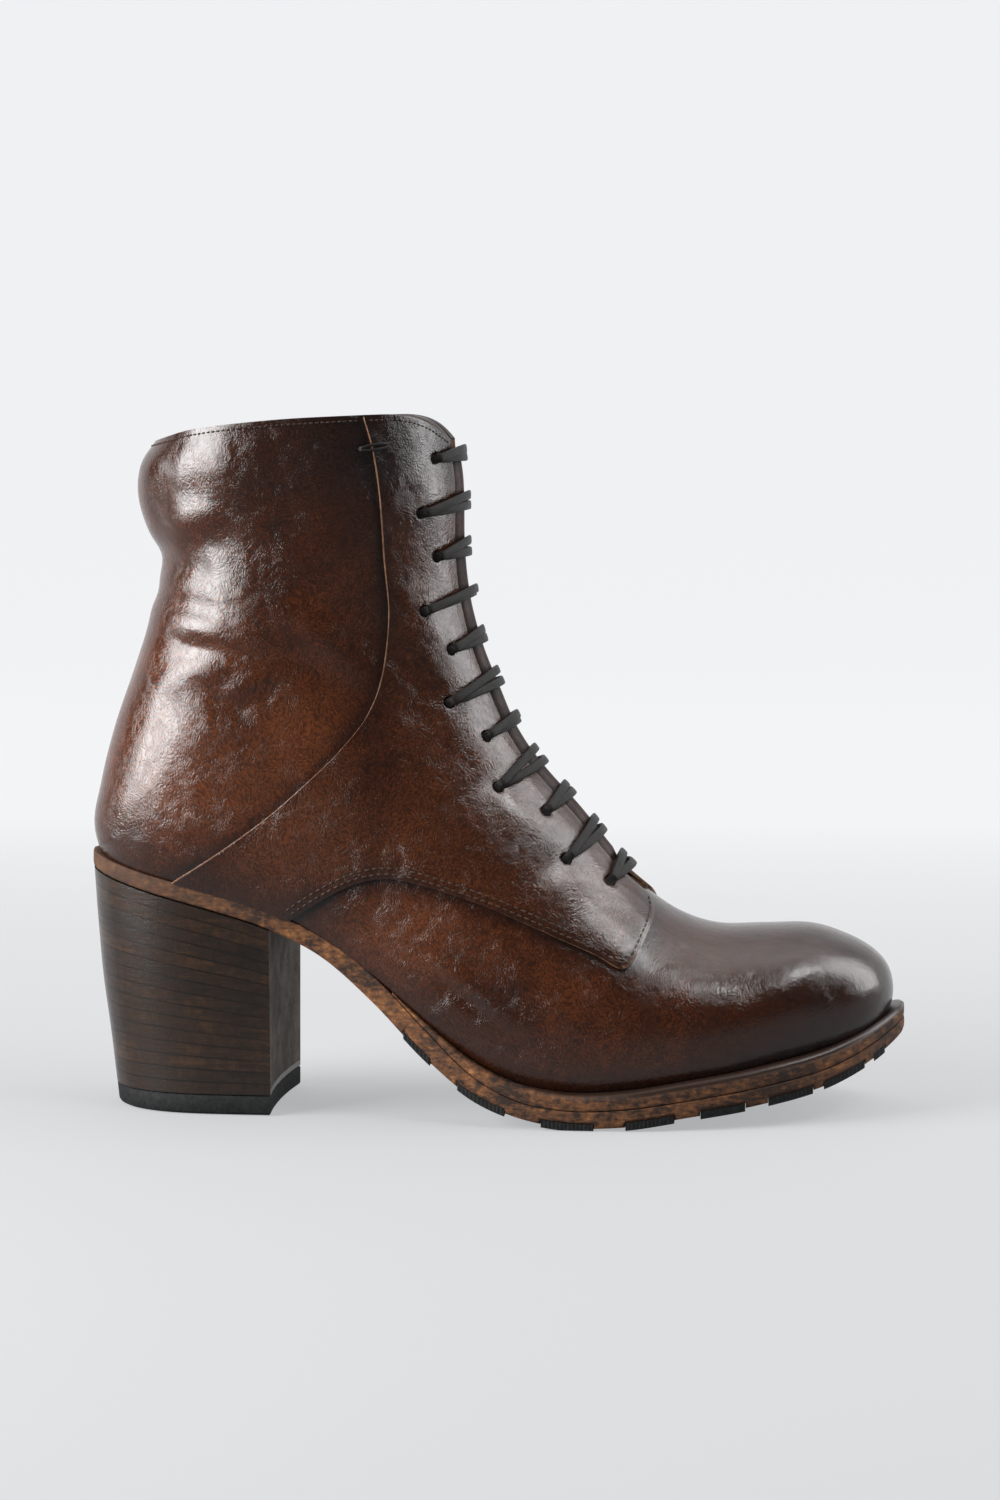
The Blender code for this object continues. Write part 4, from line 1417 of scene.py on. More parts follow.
@dataclass(frozen=True)
class StudioPaper:
    """Pale seamless paper, lit where it rises and dim where the boot mirrors the floor."""

    name: str
    floor: Colour = (0.130, 0.132, 0.135)
    shine: Colour = (0.415, 0.420, 0.428)
    wall: Colour = (0.868, 0.876, 0.892)
    rises: Pair = (0.0, 0.76)
    mirrored: float = 0.25
    mirrored_to: Pair = (-0.25, 0.15)
    specular: float = 0.1

    def make(self) -> Material:
        """Builds the material.

        Returns:
            The material.
        """
        n = FinishNodes(self.name)
        away = n.along("Y")
        share = n.span(away, *self.rises, 0.0, 1.0)
        glossy = n.add("LightPath").outputs["Is Glossy Ray"]
        dim = n.math("MULTIPLY", glossy, n.span(away, *self.mirrored_to, 1.0 - self.mirrored, 0.0))
        black = (0.0, 0.0, 0.0, 1.0)
        colour = n.mix(n.math("MAXIMUM", dim, share), (*self.floor, 1.0), black)
        glow = n.mix(dim, n.mix(share, (*self.shine, 1.0), (*self.wall, 1.0)), black)
        n.tree.links.new(glow, n.shader.inputs["Emission Color"])
        n.set(Emission_Strength=1.0)
        rough = n.span(n.noise(n.place, 6.0, 2.0), 0.3, 0.7, 0.85, 0.9)
        return n.put(colour, rough, self.specular)


class Finishes:
    """All of the boot's finishes, made once."""

    def __init__(self) -> None:
        """Builds the materials."""
        effects = Effects()
        self.upper = BurnishedLeather(effects, "upper leather").make()
        self.quarter = BurnishedLeather(
            effects, "quarter leather",
            light=(0.053, 0.0155, 0.0054), middle=(0.0210, 0.0059, 0.0024), ripple=0.5,
        ).make()
        self.lining = PlainLeather(
            effects, "lining leather", (0.105, 0.050, 0.026), (0.045, 0.020, 0.011),
        ).make()
        self.cut = PlainLeather(
            effects, "cut edge", (0.250, 0.145, 0.090), (0.055, 0.026, 0.016), (0.30, 0.50),
        ).make()
        self.tongue = PlainLeather(
            effects, "tongue leather", (0.036, 0.014, 0.008), (0.008, 0.004, 0.003), (0.35, 0.55),
            specular=0.15,
        ).make()
        self.insole = PlainLeather(
            effects, "insole leather", (0.360, 0.220, 0.130), (0.200, 0.110, 0.060),
        ).make()
        self.welt = EdgeLeather(effects, "welt leather", (0.020, 0.011, 0.008)).make()
        self.sole = EdgeLeather(effects, "sole leather", (0.042, 0.020, 0.011)).make()
        self.heel = StackedLeather(effects, "stacked heel leather").make()
        self.breast = PlainLeather(
            effects, "heel breast leather",
            (0.120, 0.085, 0.056), (0.050, 0.035, 0.024), (0.6, 0.8),
        ).make()
        self.tread = Rubber(effects, "tread rubber").make()
        self.lift = Rubber(effects, "lift rubber", ribs=0.0).make()
        self.lace = WaxedCord("waxed lace").make()
        self.thread = WaxedCord(
            "waxed thread", (0.075, 0.042, 0.026), (0.012, 0.007, 0.005), 0.5,
        ).make()


@dataclass
class Upper:
    """Vamp, heel cup and back of the shaft with their lining."""

    finishes: Finishes
    last: Last
    collar: CollarLine
    throat: Throat
    burnish: BurnishAndShade
    wall: float = 2.0
    clearance: float = 0.06
    throat_back: float = 0.7
    foot_round: float = 8.0
    edge_round: float = 0.6
    hole_radius: float = 2.5
    rows: int = 190
    columns: int = 74
    row_power: float = 1.12
    limit_steps: int = 1200
    toe_search: Range = (0.0, 0.1, 600)
    middle: Triple = (-40.0, 0.0, 90.0)
    # Reach and how much darker, beside the quarter's rear and lower seams: the wide mark is
    # burnish, the narrow one a dark line that is partly dye and partly a painted shadow of the
    # quarter's edge.
    rear_burnish_and_shadow: tuple = ((4.5, 0.25), (1.3, 0.40))
    lower_burnish_and_shadow: tuple = ((4.0, 0.30), (1.3, 0.40))

    def toe(self) -> float:
        """Finds where the ridge comes down to the sole at the toe.

        Returns:
            The place.
        """
        places = np.linspace(*self.toe_search)
        ridge_x, ridge_z = self.last.section(places)[:2]
        gap = ridge_z - self.last.sole.height(Layer.TOP, ridge_x) - self.clearance
        return float(places[np.argmax(gap > 0)])

    def limits(self, side: int) -> tuple[Array, Array, Array]:
        """How far the leather reaches round the last.

        Args:
            side: -1 or 1.

        Returns:
            Places, with the distances of the throat's edge and of the sole's edge at each.
        """
        toe = self.toe()
        places = toe + (1 - toe) * np.linspace(0, 1, self.limit_steps) ** 2
        angles, arcs = self.last.feather(places, self.clearance), self.last.arcs(places, side)
        fine = self.last.turns()
        far = np.array([np.interp(angle, fine, row) for angle, row in zip(angles, arcs)])
        foot = self.last.ridge_place(self.throat.foot)
        run = np.interp(places, *self.last.ridge_lengths(foot))
        share = np.clip(run / self.foot_round, 0, 1)
        near = (self.throat.half_gap + self.throat_back) * np.sqrt(1 - (1 - share) ** 2)
        return places, near, far

    def table(self, side: int) -> ArrayPair:
        """Spreads one half's grid from the toe to the collar.

        Args:
            side: -1 or 1.

        Returns:
            The places and the distances of its points.
        """
        places, near, far = self.limits(side)
        share = np.linspace(0, 1, self.columns)

        def distance_at(place: Array) -> Array:
            """Distances of the grid's lines at places."""
            start = np.interp(place, places, near)
            return start + share * (np.interp(place, places, far) - start)

        top = self.collar.places(distance_at, self.columns, side)
        run = np.linspace(0, 1, self.rows)[:, None] ** self.row_power
        place = places[0] + run * (top - places[0])
        return place, distance_at(place)

    def build(self, rear: Array, lower: Array) -> Object:
        """Makes the upper.

        Args:
            rear: The quarter's rear seam in the side view.
            lower: The quarter's lower seam in the side view.

        Returns:
            The upper.
        """
        # Burnish beside the quarter's seams, and a painted shadow line right next to its edges.
        seams = [(rear, *mark) for mark in self.rear_burnish_and_shadow]
        seams += [(lower, *mark) for mark in self.lower_burnish_and_shadow]
        bm = bmesh.new()
        for side in Side:
            place, distance = self.table(side.value)
            points = self.last.surface(place, distance, np.zeros(place.shape), side.value)
            folded = np.zeros(place.shape)
            folded[-1] = 1
            # The kept darkness is burnish with painted shade in folds and beside the quarter's
            # seams.
            lay(bm, points, burnish=self.burnish.at(points, seams), folded=folded)
        face_out(bm, *self.middle)
        for side in Side:
            punch(bm, *self.throat.eyelets(side.value), self.hole_radius)
        leathers = [self.finishes.upper, self.finishes.lining, self.finishes.cut]
        made = piece("upper_leather", bm, leathers, "upper_leather", "upper")
        thicken(made, self.wall, self.edge_round, 1, 2)
        return made


@dataclass
class Quarter:
    """A front quarter with its eyelet facing and its tab."""

    finishes: Finishes
    last: Last
    collar: CollarLine
    throat: Throat
    burnish: BurnishAndShade
    upper: Upper
    side: Side
    offset: float = 1.5
    thickness: float = 1.1
    skive: float = 0.25
    skive_reach: float = 2.5
    edge_round: float = 0.6
    rows: int = 150
    columns: int = 124
    relax_rounds: int = 700
    rear_points: int = 220
    lower_points: int = 320
    top_points: int = 60
    front_points: int = 80
    sole_points: int = 40
    tab_x: float = 30.0
    middle: Triple = (-30.0, 0.0, 100.0)
    # Reach and how much darker, along the rear and the lower edge.
    rear_mark: Pair = (3.0, 0.25)
    lower_mark: Pair = (3.0, 0.30)
    # The row from which the rear edge gets a painted highlight on its rounding, and the tab's
    # columns with how strong their painted highlight is.
    worn_row: int = 4
    tab_columns: int = 26
    tab_worn: float = 0.65

    def edge(self, table: tuple, count: int) -> ArrayPair:
        """The part of an edge between the collar and the sole.

        Args:
            table: The edge's points in the side view.
            count: How many points are set along it.

        Returns:
            Its points in the side view, and their places and distances on the last.
        """
        line = through(table, count)
        x, z = line.T
        line = line[(z < self.collar.height(x)) & (z > self.last.sole.height(Layer.TOP, x))]
        found = [self.last.locate(px, pz, self.side.value) for px, pz in line]
        return line, np.array(found)

    def rear(self) -> ArrayPair:
        """The rear seam from the collar down to the sole."""
        return self.edge(QUARTER_REAR_EDGE, self.rear_points)

    def lower(self) -> ArrayPair:
        """The lower seam from the sole over to the tab and up to the throat.

        Returns:
            Its points in the side view, and their places and distances on the last.
        """
        line, found = self.edge(QUARTER_LOWER_EDGE, self.lower_points)
        gap = self.throat.half_gap
        last = int(np.argmax((found[:, 1] < gap) & (line[:, 0] > self.tab_x)))
        share = (found[last - 1, 1] - gap) / (found[last - 1, 1] - found[last, 1])
        end = found[last - 1] + share * (found[last] - found[last - 1])
        return line[:last], np.vstack([found[:last], end])

    def outline(self) -> tuple[Array, Array, Array, Array]:
        """The quarter's four edges, with places stretched to the scale of distances.

        Returns:
            The collar's edge, the lower one, the rear one and the throat's.
        """
        scale = np.array([STRETCH, 1.0])
        rear, lower = self.rear()[1] * scale, self.lower()[1] * scale
        gap = self.throat.half_gap
        spread = np.linspace(rear[0, 1], gap, self.top_points)
        places = self.collar.places(spread, self.top_points, self.side.value)
        top = np.column_stack([places, spread]) * scale
        rear[0] = top[0]
        ridge, lengths = self.last.ridge_lengths(lower[-1, 0] / STRETCH)
        runs = np.linspace(np.interp(places[-1], ridge, lengths), 0, self.front_points)
        gaps = np.full(self.front_points, gap)
        front = np.column_stack([np.interp(runs, lengths, ridge), gaps]) * scale
        limits = self.upper.limits(self.side.value)
        sole = np.linspace(rear[-1, 0], lower[0, 0], self.sole_points) / STRETCH
        feather = np.column_stack([sole, np.interp(sole, limits[0], limits[2])]) * scale
        bottom = resample(np.vstack([feather, lower[1:]]), self.columns)
        rear[-1], front[-1] = bottom[0], bottom[-1]
        top = resample(top, self.columns)
        return top, bottom, resample(rear, self.rows), resample(front, self.rows)

    def patch(self) -> ArrayPair:
        """Fills the quarter's outline with a grid.

        Returns:
            The places and the distances of its points.
        """
        top, bottom, left, right = self.outline()
        u = np.linspace(0, 1, self.columns)[None, :, None]
        v = np.linspace(0, 1, self.rows)[:, None, None]
        grid = (1 - v) * top[None] + v * bottom[None] + (1 - u) * left[:, None] + u * right[:, None]
        ends = [(1 - u) * edge[0] + u * edge[-1] for edge in (top, bottom)]
        grid -= (1 - v) * ends[0] + v * ends[1]
        self.relax(grid)
        return grid[..., 0] / STRETCH, grid[..., 1]

    def relax(self, grid: Array) -> None:
        """Evens out a grid inside its edges without folding it over.

        Args:
            grid: The grid, which is changed.
        """
        inner = grid[1:-1, 1:-1]
        for _ in range(self.relax_rounds):
            below, above = grid[2:, 1:-1], grid[:-2, 1:-1]
            after, before = grid[1:-1, 2:], grid[1:-1, :-2]
            down, right = (below - above) / 2, (after - before) / 2
            twist = (grid[2:, 2:] - grid[2:, :-2] - grid[:-2, 2:] + grid[:-2, :-2]) / 4
            a = (right**2).sum(axis=-1, keepdims=True)
            b = (down * right).sum(axis=-1, keepdims=True)
            c = (down**2).sum(axis=-1, keepdims=True)
            sums = a * (below + above) + c * (after + before) - 2 * b * twist
            inner[:] = sums / (2 * (a + c))

    def build(self) -> Object:
        """Makes the quarter.

        Returns:
            The quarter.
        """
        side = self.side.value
        place, distance = self.patch()
        base = self.last.points(place, self.last.angles(place, distance, side))
        rear, lower = self.rear()[0], self.lower()[0]
        edge = np.minimum(distance_to(rear, base), distance_to(lower, base))
        offset = self.offset - self.skive * np.exp(-edge / self.skive_reach)
        points = self.last.surface(place, distance, offset, side)
        # Darkness: burnish along the quarter's edges, with the painted shade of the dark patches in
        # folds.
        dark = self.burnish.at(points, [(rear, *self.rear_mark), (lower, *self.lower_mark)])
        # The rear edge and the tab's lower edge are marked for a painted highlight on their
        # rounding.
        folded, worn = np.zeros(place.shape), np.zeros(place.shape)
        folded[0] = worn[self.worn_row :, 0] = 1
        worn[-1, -self.tab_columns :] = self.tab_worn
        bm = bmesh.new()
        lay(bm, points, burnish=dark, folded=folded, worn=worn)
        face_out(bm, *self.middle)
        centres, normals = self.throat.eyelets(side)
        punch(bm, centres + normals * self.offset, normals, self.throat.eyelet_radius)
        name = f"quarter_{self.side.name.lower()}"
        leathers = [self.finishes.quarter, self.finishes.lining, self.finishes.cut]
        made = piece(f"{name}_leather", bm, leathers, "quarter_leather", name)
        thicken(made, self.thickness, self.edge_round, 1, 2)
        return made


@dataclass
class Tongue:
    """The tongue, which swells out between the facings."""

    finishes: Finishes
    last: Last
    throat: Throat
    depth: float = 2.75
    thickness: float = 1.6
    edge_round: float = 0.5
    bulge: float = 4.9
    bulge_power: float = 1.2
    facing_gap: float = 0.3
    half_width: float = 19.0
    fall: float = 0.05
    fall_from: float = 12.0
    top: float = 203.0
    # In places along the last: where it starts to swell, over what length, and how far it tucks in.
    start: float = 0.005
    opening: float = 0.04
    tuck: float = 0.03
    rows: int = 110
    columns: int = 40
    middle: Triple = (-30.0, 0.0, 90.0)

    def build(self) -> None:
        """Makes the tongue."""
        foot = self.last.ridge_place(self.throat.foot) + self.start
        top = self.last.ridge_place(self.top)
        place = np.linspace(foot - self.tuck, top, self.rows)[:, None]
        opened = np.clip((place - foot) / self.opening, 0, 1)
        distance = np.linspace(0, self.half_width, self.columns)[None, :]
        share = distance / (self.throat.half_gap - self.facing_gap)
        swell = np.clip(1 - share**2, 0, 1) ** self.bulge_power
        fall = self.fall * np.maximum(distance - self.fall_from, 0)
        offset = self.bulge * swell * opened - self.depth - fall
        halves = [self.last.surface(place, distance, offset, side.value) for side in Side]
        bm = bmesh.new()
        lay(bm, np.concatenate([halves[0][:, :0:-1], halves[1]], axis=1))
        face_out(bm, *self.middle)
        made = piece("tongue_leather", bm, [self.finishes.tongue], "tongue_leather", "tongue")
        thicken(made, self.thickness, self.edge_round)


@dataclass
class Insole:
    """The leather insole that the foot stands on."""

    finishes: Finishes
    last: Last
    upper: Upper
    thickness: float = 2.4
    lift: float = 0.6
    inset: float = 2.7
    edge_round: float = 0.4
    closed: float = 0.02
    # How far its ends are from the heel's back and from the toe, and how round they are.
    ends: Pair = (0.5, 1.5)
    end_turn: float = 0.06
    stations: int = 110
    columns: int = 13
    below: Triple = (0.0, 0.0, -900.0)

    def build(self) -> None:
        """Makes the insole."""
        edges = []
        for side in Side:
            places, _, far = self.upper.limits(side.value)
            seen = self.last.feather(places, self.upper.clearance) < math.pi - self.closed
            line = self.last.surface(places[seen], far[seen], -self.inset, side.value)
            edges.append(line[np.argsort(line[:, 0])][:, :2])
        low = max(edge[:, 0].min() for edge in edges) + self.ends[0]
        high = min(edge[:, 0].max() for edge in edges) - self.ends[1]
        turn = np.linspace(self.end_turn, math.pi - self.end_turn, self.stations)
        x = low + (high - low) * (0.5 - 0.5 * np.cos(turn))
        lateral, medial = (np.interp(x, *edge.T) for edge in edges)
        share = np.linspace(0, 1, self.columns)[None, :]
        y = lateral[:, None] + share * (medial - lateral)[:, None]
        z = self.last.sole.height(Layer.TOP, x) + self.lift + self.thickness
        wide_x, wide_z = (np.repeat(values[:, None], self.columns, axis=1) for values in (x, z))
        bm = bmesh.new()
        lay(bm, np.stack([wide_x, y, wide_z], axis=-1))
        face_out(bm, *self.below)
        made = piece("insole_leather", bm, [self.finishes.insole], "insole_leather", "insole")
        thicken(made, self.thickness, self.edge_round)


@dataclass
class Sole:
    """Welt, outsole and rubber tread."""

    finishes: Finishes
    lines: SoleLines
    gap: float = 0.15
    welt_round: float = 1.8
    welt_share: float = 0.4
    welt_thin: float = 0.02
    welt_inner: float = 1.0
    welt_polish: float = 0.25
    welt_turns: tuple = (0, 20, 40, 60, 80)
    # Share of the way down and inset.
    welt_sides: tuple = ((0.6, 0.0), (0.85, 0.0), (0.97, 0.04), (1.0, 0.15), (1.0, 1.4))
    # Share of the way down, inset and mark.
    outsole_sides: tuple = (
        (0.0, 1.6, 0.3), (0.0, 0.15, 0.6), (0.03, 0.04, 0.9), (0.10, 0.0, 1.0), (0.5, -0.1, 1.0),
        (0.82, 0.0, 1.0), (0.93, 0.15, 1.0), (1.0, 0.6, 1.0), (1.0, 1.6, 1.0),
    )
    tread_depth: float = 1.5
    tread_proud: float = 0.9
    tread_core: float = 0.62
    core_ends: Pair = (3.0, 2.0)
    lug_width: float = 1.004
    lug_step: float = 1.6
    lug_round: float = 0.25
    bed_gap: float = 0.12
    bed_depth: float = 8.0

    def slab(
        self, levels: list[tuple[Callable, float, float]], start: float | None = None,
    ) -> BMesh:
        """A layer through levels.

        Args:
            levels: What gives a level's height at x, its inset and its mark, for each level.
            start: Where the layer begins, if not at the heel's back.

        Returns:
            The layer.
        """
        tables = []
        for height, inset, _ in levels:
            edges = self.lines.edges(inset, start=start)
            tables.append(np.stack([np.column_stack([e, height(e[:, 0])]) for e in edges]))
        return stack(tables, [mark for _, _, mark in levels])

    def welt_height(self, x: Array, share: float = 0.0, rounding: float = 0.0) -> Array:
        """A height in the welt.

        Args:
            x: Where it is read.
            share: The share of the way down.
            rounding: The share of the upper edge's rounding that is taken off.

        Returns:
            The height at each x.
        """
        top = self.lines.height(Layer.TOP, x)
        depth = np.maximum(top - self.lines.height(Layer.SEAM, x) - self.gap, self.welt_thin)
        rounded = np.minimum(self.welt_round, self.welt_share * depth)
        return top - share * depth - rounding * rounded

    def outsole_height(self, x: Array, share: float) -> Array:
        """The height at x, a share of the way down the outsole."""
        seam = self.lines.height(Layer.SEAM, x) - self.gap
        return seam + share * (self.lines.height(Layer.BOTTOM, x) - seam)

    def welt(self) -> None:
        """Makes the welt, rounded along its upper edge and open to a groove below."""
        levels = [(self.welt_height, self.welt_round + self.welt_inner, 0.0)]
        for turn in np.radians(self.welt_turns):
            height = partial(self.welt_height, rounding=1 - math.cos(turn))
            inset = self.welt_round * (1 - math.sin(turn))
            levels.append((height, inset, self.welt_polish * turn))
        for share, inset in self.welt_sides:
            levels.append((partial(self.welt_height, share=share), inset, 1.0))
        slab = self.slab(levels, self.lines.welt_start)
        piece("welt_leather", slab, [self.finishes.welt], "sole_leather", "welt")

    def outsole(self) -> None:
        """Makes the outsole with the bed of the tread cut into it."""
        levels = [
            (partial(self.outsole_height, share=share), inset, mark)
            for share, inset, mark in self.outsole_sides
        ]
        slab = self.slab(levels)
        made = piece("outsole_leather", slab, [self.finishes.sole], "sole_leather", "outsole")
        for form in self.tread_forms(self.bed_gap, self.bed_depth):
            combine(made, form, "DIFFERENCE")

    def bar(self, ends: Pair, share: float, grow: float, below: float) -> BMesh:
        """Part of the tread over a stretch of x.

        Args:
            ends: Where it starts and ends.
            share: Its share of the sole's width.
            grow: How far it is swollen.
            below: How far it reaches down past the tread.

        Returns:
            The part.
        """
        start, end = ends
        count = max(5, round((end - start) / self.lug_step))
        x = np.linspace(start - grow, end + grow, count)
        lateral, medial = self.lines.width(x)
        middle, half = (lateral + medial) / 2, (medial - lateral) / 2 * share + grow
        bottom = self.lines.height(Layer.BOTTOM, x)
        top = bottom + self.tread_depth + grow
        low = np.maximum(0.0, bottom - self.tread_proud) - below
        tables = [
            np.stack([np.column_stack([x, middle + sign * half, z]) for sign in (-1, 1)])
            for z in (top, low)
        ]
        return stack(tables, [1.0, 1.0])

    def tread_forms(self, grow: float, below: float) -> list[BMesh]:
        """The tread's core and all its bars.

        Args:
            grow: How far they are swollen.
            below: How far they reach down past the tread.

        Returns:
            The two meshes.
        """
        core_ends = (LUGS[0][0] + self.core_ends[0], LUGS[-1][1] - self.core_ends[1])
        core = self.bar(core_ends, self.tread_core, grow, below)
        bars = bmesh.new()
        for ends in LUGS:
            bar = self.bar(ends, self.lug_width, grow, below)
            mesh = bpy.data.meshes.new("bar")
            bar.to_mesh(mesh)
            bar.free()
            bars.from_mesh(mesh)
            bpy.data.meshes.remove(mesh)
        return [core, bars]

    def tread(self) -> None:
        """Makes the rubber tread, with its lugs' edges taken off a little."""
        core, bars = self.tread_forms(0.0, 0.0)
        made = piece("tread_rubber", core, [self.finishes.tread], "rubber", "tread", flat=True)
        combine(made, bars, "UNION")
        round_edges(made, self.lug_round, BLOCK_ANGLE, 1)


@dataclass
class Heel:
    """The stacked leather heel and its rubber lift."""

    finishes: Finishes
    lines: SoleLines
    gap: float = 0.3
    back: float = -127.5
    breast: float = -66.8
    breast_turn: float = math.radians(3.0)
    breast_hollow: float = 1.4
    breast_reach: float = 10.0
    breast_facing: float = 0.75
    layers: int = 15
    lift_height: float = 6.0
    edge_round: float = 0.35
    columns: int = 9
    # Rows from back to breast: how many, how far the even ones go, and the last two.
    rows: int = 44
    rows_to: float = 0.97
    last_rows: Pair = (0.985, 1.0)
    # Share of the way down, back end, share of the seat's width.
    levels: tuple = (
        (0.00, -127.3, 1.000), (0.25, -126.2, 0.990), (0.50, -124.8, 0.975),
        (0.75, -122.6, 0.960), (1.00, -120.7, 0.950),
    )
    # Height, back end, share of the seat's width, inset.
    lift_levels: tuple = (
        (6.0, -120.6, 0.950, 0.25), (5.7, -120.6, 0.950, 0.0), (0.9, -120.1, 0.945, 0.0),
        (0.3, -119.9, 0.945, 0.2), (0.0, -119.8, 0.945, 0.8),
    )

    def layer_height(self, x: Array, down: float) -> Array:
        """The height at x, a share of the way down from the seat to the lift."""
        seat = self.lines.height(Layer.BOTTOM, x) - self.gap
        return seat + down * (self.lift_height + self.gap - seat)

    def table(self, height: Callable, back: float, width_share: float, inset: float = 0.0) -> Array:
        """The heel's section at one level.

        Args:
            height: What gives the level's height at x.
            back: Its back end.
            width_share: Its share of the seat's width.
            inset: How far it is moved in.

        Returns:
            The section's points.
        """
        t = np.concatenate([np.linspace(0, 1, self.rows) ** 2 * self.rows_to, self.last_rows])
        share = np.linspace(-1, 1, self.columns)[:, None]
        lateral, medial = self.lines.width(self.back + (self.breast - self.back) * t)
        middle, half = (lateral + medial) / 2, (medial - lateral) / 2 * width_share
        half = half * (1 - inset / half.max())
        y = middle + share * half
        hollow = self.breast_hollow * (1 - share**2)
        breast = self.breast + y * math.tan(self.breast_turn) - hollow - inset
        x = back + inset + (breast - back - inset) * t
        return np.stack([x, y, height(x)], axis=-1)

    def stack(self) -> None:
        """Makes the stacked leather, whose front face is left unpolished."""
        rows = np.array(self.levels)
        downs = np.linspace(0, 1, 2 * self.layers + 1)
        tables = []
        for down in downs:
            size = smooth(rows[:, 0], rows[:, 1:], np.array(down))
            tables.append(self.table(partial(self.layer_height, down=down), *size))
        bm = stack(tables, [down * self.layers for down in downs])
        for face in bm.faces:
            ahead = face.calc_center_median().x > self.breast - self.breast_reach
            face.material_index = int(abs(face.normal.x) > self.breast_facing and ahead)
        leathers = [self.finishes.heel, self.finishes.breast]
        made = piece("heel_stack_leather", bm, leathers, "heel_leather", "heel_stack")
        self.sharpen(made)

    def lift(self) -> None:
        """Makes the rubber lift."""
        tables = [
            self.table(partial(np.full_like, fill_value=z), back, width, inset)
            for z, back, width, inset in self.lift_levels
        ]
        bm = stack(tables, [1.0] * len(tables))
        made = piece("heel_lift_rubber", bm, [self.finishes.lift], "rubber", "heel_lift")
        self.sharpen(made)

    def sharpen(self, made: Object) -> None:
        """Keeps the corners between the heel's sides and its breast crisp but not razor sharp."""
        round_edges(made, self.edge_round, BLOCK_ANGLE).harden_normals = True


@dataclass
class Lacing:
    """One flat lace, whose two halves cross the throat side by side at each level."""

    finishes: Finishes
    last: Last
    throat: Throat
    width: float = 2.8
    thickness: float = 1.15
    roundness: float = 0.62
    ride: float = 2.28
    clear: float = 1.4
    dip: float = 0.9
    hole_shift: float = 0.55
    relief_from: float = 0.3
    start_gap: float = 0.05
    steps: int = 45
    hidden_steps: int = 10
    smoothing: int = 2
    # Heights over the last behind an eyelet, from the hidden end up.
    rises: tuple[float, ...] = (-3.1, -1.9, -0.6, 0.8)
    # Distance between the two halves over the throat, from the lowest level up, and the one under
    # which the upper half starts to lie on the lower one.
    spreads: tuple[float, ...] = (4.4, 4.1, 3.1, 5.0, 1.6, 3.7, 2.9, 1.0, 3.7, 3.2, 2.6)
    lying: float = 2.9
    # Powers of the share of the way from the middle to an eyelet: how the halves part, how the
    # upper one climbs and how the lace dips into the eyelet.
    part_power: float = 1.7
    climb_power: float = 2.4
    dip_power: float = 24.0

    def heights(self, share: Array, half: int, spread: float) -> Array:
        """How high the lace lies over the last along one crossing.

        Args:
            share: Shares of the way from the middle to an eyelet.
            half: -1 for the half that runs below, 1 for the one that runs on top.
            spread: The distance between the halves.

        Returns:
            The heights.
        """
        reach = np.abs(share)
        height = self.ride + self.clear * (1 - share**2)
        if half > 0:
            over = np.clip(1 - spread / self.lying, 0, 1)
            height = height + self.thickness * np.maximum(reach**self.climb_power, over)
        rise = np.concatenate([self.rises, np.zeros(self.steps), self.rises[::-1]])
        return np.where(reach >= 1, rise, height - self.dip * reach**self.dip_power)

    def crossing(self, k: int, half: int) -> ArrayPair:
        """One crossing of the throat, from behind an eyelet to behind the one across.

        Args:
            k: The level, from the lowest up.
            half: -1 for the half that runs below, 1 for the one that runs on top.

        Returns:
            Its path and the direction of its width.
        """
        levels = self.throat.levels()
        crossing, eyelet, distance = levels[k]
        ends = len(self.rises)
        share = np.pad(np.linspace(-1, 1, self.steps), ends, mode="edge")
        share = share * (-half if k % 2 else half)
        spread = self.spreads[k]
        apart = spread / 2 * half * (1 - np.abs(share) ** self.part_power)
        height = self.heights(share, half, spread)
        ridge, lengths = self.last.ridge_lengths(levels[0][0] - self.start_gap)
        along = np.interp(crossing + (eyelet - crossing) * share**2, ridge, lengths) + apart
        place = np.interp(along, lengths, ridge)
        distances = np.abs(share) * (distance + self.hole_shift * half)
        run, normal = np.empty((len(share), 3)), np.empty((len(share), 3))
        for side in Side:
            mine = share < 0 if side is Side.LATERAL else share >= 0
            angle = self.last.angles(place[mine], distances[mine], side.value)
            normal[mine] = self.last.normals(place[mine], angle)
            base = self.last.points(place[mine], angle)
            on_facing = np.abs(share[mine]) > self.relief_from
            lift = height[mine] + np.where(on_facing, self.last.relief.height(base), 0.0)
            run[mine] = base + normal[mine] * lift[:, None]
        seen = slice(ends, -ends)
        axis = np.cross(normal[seen], np.gradient(run[seen], axis=0))
        return run, unit(np.pad(axis, ((ends, ends), (0, 0)), mode="edge"))

    def strand(self, half: int) -> ArrayPair:
        """One half of the lace from the lowest eyelets to the highest.

        Args:
            half: -1 for the one that runs below, 1 for the one that runs on top.

        Returns:
            Its path and the direction of its width.
        """
        path, width = [], []
        share = np.linspace(0, 1, self.hidden_steps)[1:-1, None]
        for k in range(self.throat.count):
            run, axis = self.crossing(k, half)
            if k:
                start, before = path[-1][-1], width[-1][-1:]
                after = axis[:1] * np.sign((before[0] * axis[0]).sum())
                path.append(start + share * (run[0] - start))
                width.append(unit(before + share * (after - before)))
            path.append(run)
            width.append(axis)
        path, width = np.vstack(path), np.vstack(width)
        for i in range(1, len(width)):
            if width[i] @ width[i - 1] < 0:
                width[i] = -width[i]
        for _ in range(self.smoothing):
            width[1:-1] = unit(width[:-2] + 2 * width[1:-1] + width[2:])
        return path, width

    def build(self) -> None:
        """Makes the lace."""
        bm = bmesh.new()
        for half in (-1, 1):
            sweep(bm, *self.strand(half), oval(self.width, self.thickness, self.roundness))
        bars = [f"lace_bar_{k:02d}" for k in range(1, self.throat.count + 1)]
        piece("waxed_lace", bm, [self.finishes.lace], "lace", *bars)


